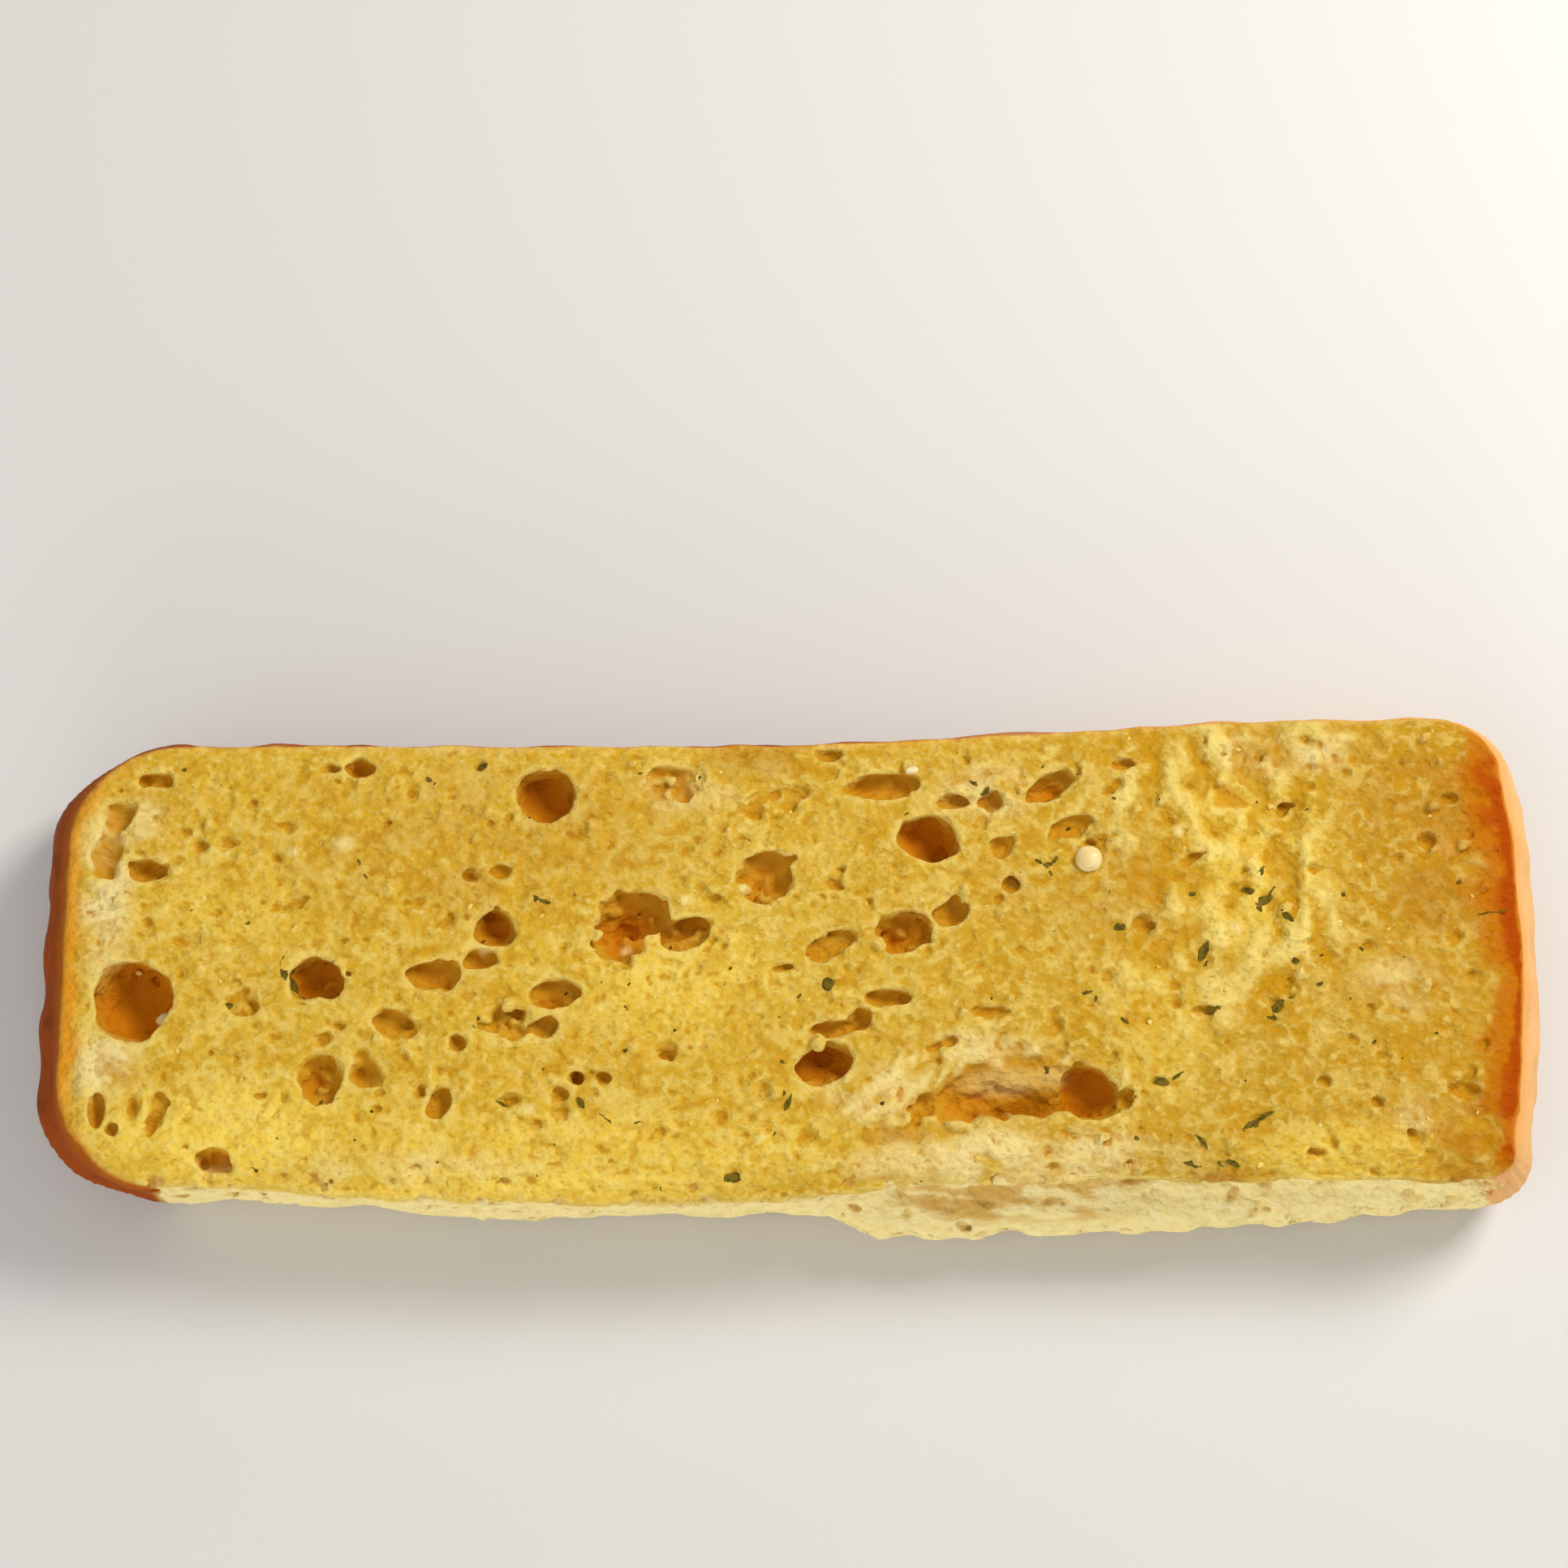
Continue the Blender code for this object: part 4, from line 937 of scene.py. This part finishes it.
# Torn edges first, with 1.1 tears a millimetre, then each bit sinks onto the butter under it and lifts
# a little where it has curled, in waves of 2.4 mm. A corner that sticks out over the rim stays level
# with the middle of its bit.
tears = add(tree, "ShaderNodeTexNoise", {}, {"Vector": spot, "Scale": 1.1 / MM, "Detail": 1.0}, "Color")
for operation, by in (("SUBTRACT", (0.5, 0.5, 0.5)), ("MULTIPLY", (1.0, 1.0, 0.0))):
    tears = add(tree, "ShaderNodeVectorMath", {"operation": operation}, {"Vector": tears, "Vector_001": by})
tears = add(tree, "ShaderNodeVectorMath", {"operation": "SCALE"}, {"Vector": tears, "Scale": given["Ragged"]})
both = add(tree, "GeometryNodeSetPosition", {}, {"Geometry": both, "Offset": tears})
middle = add(
    tree, "GeometryNodeInputNamedAttribute", {"data_type": "FLOAT"}, {"Name": "middle_lies_at"}, "Attribute"
)
ground = add(
    tree, "ShaderNodeMix", {"data_type": "FLOAT"},
    {"Factor_Float": under.node.outputs["Is Hit"], "A_Float": middle, "B_Float": ground}, "Result_Float",
)
wavy = add(tree, "ShaderNodeTexNoise", {}, {"Vector": spot, "Scale": 0.42 / MM, "Detail": 0.0})
wavy = add(
    tree, "ShaderNodeMath", {"operation": "MULTIPLY_ADD"},
    {"Value": wavy, "Value_001": given["Curl"], "Value_002": ground},
)
lift = add(tree, "ShaderNodeCombineXYZ", {}, {"Z": wavy})
both = add(tree, "GeometryNodeSetPosition", {}, {"Geometry": both, "Offset": lift})
both = add(tree, "GeometryNodeSetMaterial", {}, {"Geometry": both, "Material": given["Material"]})
tree.links.new(both, result.inputs[0])

# Dried leaf soaked in butter: dull olive to a dark brown-green along its veins, nearly matt.
dried, leafy, shader = new_material("dried_parsley_leaf", {
    "Roughness": 0.7, "Specular IOR Level": 0.06, "IOR": 1.4,
})
place = add(leafy, "ShaderNodeTexCoord", out="Object")
shade = add(leafy, "ShaderNodeAttribute", {"attribute_name": "shade"}, out="Fac")
veins = add(leafy, "ShaderNodeTexNoise", {}, {"Vector": place, "Scale": 1000.0 / 0.9, "Detail": 1.0})
veins = add(
    leafy, "ShaderNodeMapRange", {}, {"Value": veins, "From Min": 0.4, "From Max": 0.62, "To Max": 0.7},
    "Result",
)
colour = mix_layers(leafy, "#544810", [(shade, "#7A6620"), (veins, "#3C340C")])
leafy.links.new(colour, shader.inputs["Base Color"])

grow(carrier, tree, {
    "Top": face_top, "Thickness": 0.2 * MM, "Curl": 0.3 * MM, "Ragged": 1.0 * MM, "Specks": 4200.0,
    "Smallest": 0.35 * MM, "Largest": 0.9 * MM, "Seed": 3, "Material": dried,
})
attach(carrier, "root")

# --- Garlic ----------------------------------------------------------------------------------
# Chopped garlic: one round bead 4.8 mm across and two soft bits, creamy white and half sunk in
# the crumb.

# The bead, then the bits: (x, y, length, width, height, turn), mm and degrees.
GARLIC = [(51.7, 18.9, 4.8, 4.6, 4.0, 0), (-112.4, -9.2, 2.9, 2.4, 1.8, 20), (20.4, 35.0, 2.4, 1.5, 0.9, 10)]
build = bmesh.new()
draw = np.random.default_rng(12)
for number, (x, y, length, width, tall, turn) in enumerate(GARLIC):
    made = bmesh.ops.create_icosphere(build, subdivisions=4 if number == 0 else 3, radius=0.5)["verts"]
    cos, sin = math.cos(math.radians(turn)), math.sin(math.radians(turn))
    rough_by = 0.05 if number == 0 else 0.3
    for vertex in made:
        lumpy = 1.0 + rough_by * noise.noise(vertex.co * 3.4 + Vector((number * 7.0, 0.0, 0.0)))
        a, b, c = vertex.co * lumpy
        a, b, c = a * length, b * width, c * tall
        vertex.co = (x + a * cos - b * sin, y + a * sin + b * cos, top_of(x, y) + 0.22 * tall + c)
for vertex in build.verts:
    vertex.co = (vertex.co + Vector(SHIFT)) * MM
mesh = bpy.data.meshes.new("garlic")
build.to_mesh(mesh)
build.free()
mesh.shade_smooth()
garlic = bpy.data.objects.new("garlic", mesh)
bpy.context.scene.collection.objects.link(garlic)

# Cooked garlic: soft, waxy and translucent, creamy white with a smooth wet shine.
waxy, pulp, shader = new_material("cooked_garlic", {
    "Roughness": 0.3, "IOR": 1.42, "Subsurface Weight": 0.25, "Subsurface Radius": (1.0, 0.7, 0.35),
    "Subsurface Scale": 1.5 * MM,
})
place = add(pulp, "ShaderNodeTexCoord", out="Object")
clouds = add(pulp, "ShaderNodeTexNoise", {}, {"Vector": place, "Scale": 1000.0 / 3.0, "Detail": 1.0})
clouds = add(pulp, "ShaderNodeMapRange", {}, {"Value": clouds, "From Min": 0.35, "From Max": 0.65}, "Result")
colour = mix_layers(pulp, "#EFE0B4", [(clouds, "#E6CC86")])
pulp.links.new(colour, shader.inputs["Base Color"])
garlic.data.materials.append(waxy)
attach(garlic, "root")

# --- Butter curds ----------------------------------------------------------------------------
# Small curds of butter and crumb, 0.6 to 1.6 mm, that the knife left on the face. They lie thicker
# where the butter was smeared on in folds.

on_face = smooth(-1.2, -0.4, (tops - plain_height)[spaced]).ravel()
richness = 0.35 + 0.65 * smeared[spaced].ravel()
keep(face_top, "richness", richness * on_face)
curds = new_object("butter_curds", np.zeros((1, 3)), [])

tree, given, result = new_tree("butter_curds", [
    ("Top", "NodeSocketObject"), ("Per square metre", "NodeSocketFloat"), ("Smallest", "NodeSocketFloat"),
    ("Largest", "NodeSocketFloat"), ("Lumpy", "NodeSocketFloat"), ("Seed", "NodeSocketInt"),
    ("Material", "NodeSocketMaterial"),
])
top = add(tree, "GeometryNodeObjectInfo", {}, {"Object": given["Top"]}, "Geometry")
rich = add(tree, "GeometryNodeInputNamedAttribute", {"data_type": "FLOAT"}, {"Name": "richness"}, "Attribute")
rich = add(
    tree, "ShaderNodeMath", {"operation": "MULTIPLY"}, {"Value": rich, "Value_001": given["Per square metre"]}
)
spots = add(
    tree, "GeometryNodeDistributePointsOnFaces", {}, {"Mesh": top, "Density": rich, "Seed": given["Seed"]},
    "Points",
)
share = add(
    tree, "FunctionNodeRandomValue", {"data_type": "FLOAT"},
    {"Min_001": 0.0, "Max_001": 1.0, "Seed": given["Seed"]}, "Value_001",
)
share = add(tree, "ShaderNodeMath", {"operation": "POWER"}, {"Value": share, "Value_001": 2.0})
across = add(
    tree, "ShaderNodeMapRange", {},
    {"Value": share, "To Min": given["Smallest"], "To Max": given["Largest"]}, "Result",
)
size = add(
    tree, "ShaderNodeVectorMath", {"operation": "SCALE"}, {"Vector": (1.0, 0.75, 0.5), "Scale": across}
)
turned = add(
    tree, "FunctionNodeRandomValue", {"data_type": "FLOAT_VECTOR"},
    {"Min": (-0.3, -0.3, 0.0), "Max": (0.3, 0.3, 6.28), "Seed": given["Seed"]}, "Value",
)
turned = add(tree, "FunctionNodeEulerToRotation", {}, {"Euler": turned})
ball = add(tree, "GeometryNodeMeshIcoSphere", {}, {"Radius": 0.5, "Subdivisions": 2}, "Mesh")
grains = add(
    tree, "GeometryNodeInstanceOnPoints", {},
    {"Points": spots, "Instance": ball, "Scale": size, "Rotation": turned},
)
grains = add(tree, "GeometryNodeRealizeInstances", {}, {"Geometry": grains})
spot = add(tree, "GeometryNodeInputPosition")
lumps = add(tree, "ShaderNodeTexNoise", {}, {"Vector": spot, "Scale": 1.3 / MM, "Detail": 0.0}, "Color")
lumps = add(
    tree, "ShaderNodeVectorMath", {"operation": "SUBTRACT"}, {"Vector": lumps, "Vector_001": (0.5, 0.5, 0.5)}
)
lumps = add(tree, "ShaderNodeVectorMath", {"operation": "SCALE"}, {"Vector": lumps, "Scale": given["Lumpy"]})
grains = add(tree, "GeometryNodeSetPosition", {}, {"Geometry": grains, "Offset": lumps})
grains = add(tree, "GeometryNodeSetShadeSmooth", {}, {"Geometry": grains})
grains = add(tree, "GeometryNodeSetMaterial", {}, {"Geometry": grains, "Material": given["Material"]})
tree.links.new(grains, result.inputs[0])

# Butter that took up crumb: opaque, pale golden, with a soft shine.
butter, fat, shader = new_material("crumbed_butter", {
    "Roughness": 0.4, "IOR": 1.45, "Subsurface Weight": 0.15, "Subsurface Radius": (1.0, 0.7, 0.3),
    "Subsurface Scale": 1.5 * MM,
})
place = add(fat, "ShaderNodeTexCoord", out="Object")
clouds = add(fat, "ShaderNodeTexNoise", {}, {"Vector": place, "Scale": 1000.0 / 5.0, "Detail": 1.0})
clouds = add(fat, "ShaderNodeMapRange", {}, {"Value": clouds, "From Min": 0.35, "From Max": 0.65}, "Result")
colour = mix_layers(fat, "#E8CE6A", [(clouds, "#DCB444")])
fat.links.new(colour, shader.inputs["Base Color"])

grow(curds, tree, {
    "Top": face_top, "Per square metre": 12000.0, "Smallest": 0.6 * MM, "Largest": 1.6 * MM,
    "Lumpy": 0.7 * MM, "Seed": 5, "Material": butter,
})
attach(curds, "root")
bpy.data.objects.remove(face_top)

# --- Table, light and camera ---------------------------------------------------------------
# A plain pale table, soft studio light from above and to the right, and a camera that looks
# down at 77 degrees.

TABLE_TOP = -0.1 * MM  # a hair under the crust, so that the two faces don't flicker through each other
mesh = bpy.data.meshes.new("table")
build = bmesh.new()
lowered = Matrix.Translation((0.0, 0.0, TABLE_TOP))
bmesh.ops.create_grid(build, x_segments=1, y_segments=1, size=4.0, matrix=lowered)
build.to_mesh(mesh)
build.free()
table = bpy.data.objects.new("table", mesh)
bpy.context.scene.collection.objects.link(table)
# Matt emulsion paint on a board: pale, even, with hardly any shine.
paint, _, _ = new_material("pale_table_paint", {"Base Color": srgb("#D8D6D3"), "Roughness": 0.6})
table.data.materials.append(paint)
table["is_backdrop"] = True

# A dim room round it fills the shadows.
world = bpy.data.worlds.new("studio")
world.use_nodes = True
world.node_tree.nodes["Background"].inputs["Color"].default_value = (1.0, 0.98, 0.95, 1.0)
world.node_tree.nodes["Background"].inputs["Strength"].default_value = 0.42
bpy.context.scene.world = world


def area_light(name, place, size, power, colour):
    """A square lamp at that place, aimed at the bread."""
    data = bpy.data.lights.new(name, "AREA")
    data.energy, data.size, data.color = power, size, colour
    lamp = bpy.data.objects.new(name, data)
    lamp.location = place
    lamp.rotation_euler = (-Vector(place)).to_track_quat("-Z", "Y").to_euler()
    bpy.context.scene.collection.objects.link(lamp)


area_light("key", (0.52, 0.42, 0.62), 0.32, 6.6, (1.0, 0.98, 0.94))
area_light("fill", (-0.7, -0.4, 0.8), 0.9, 2.6, (0.97, 0.98, 1.0))
area_light("front", (-0.1, -1.1, 0.3), 0.7, 5.0, (1.0, 0.98, 0.95))

CAMERA_AT = Vector((-2.5, -97.97, 593.13))
LOOKS_DOWN = 77.0
lens = bpy.data.cameras.new("camera")
lens.sensor_width = 36.0
lens.lens = 74.53
lens.clip_start = 0.01
lens.clip_end = 10.0
camera = bpy.data.objects.new("camera", lens)
camera.location = (CAMERA_AT + Vector(SHIFT)) * MM
camera.rotation_euler = (math.radians(90.0 - LOOKS_DOWN), 0.0, 0.0)
bpy.context.scene.collection.objects.link(camera)
bpy.context.scene.camera = camera
bpy.context.scene.view_settings.view_transform = "Standard"

low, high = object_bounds()
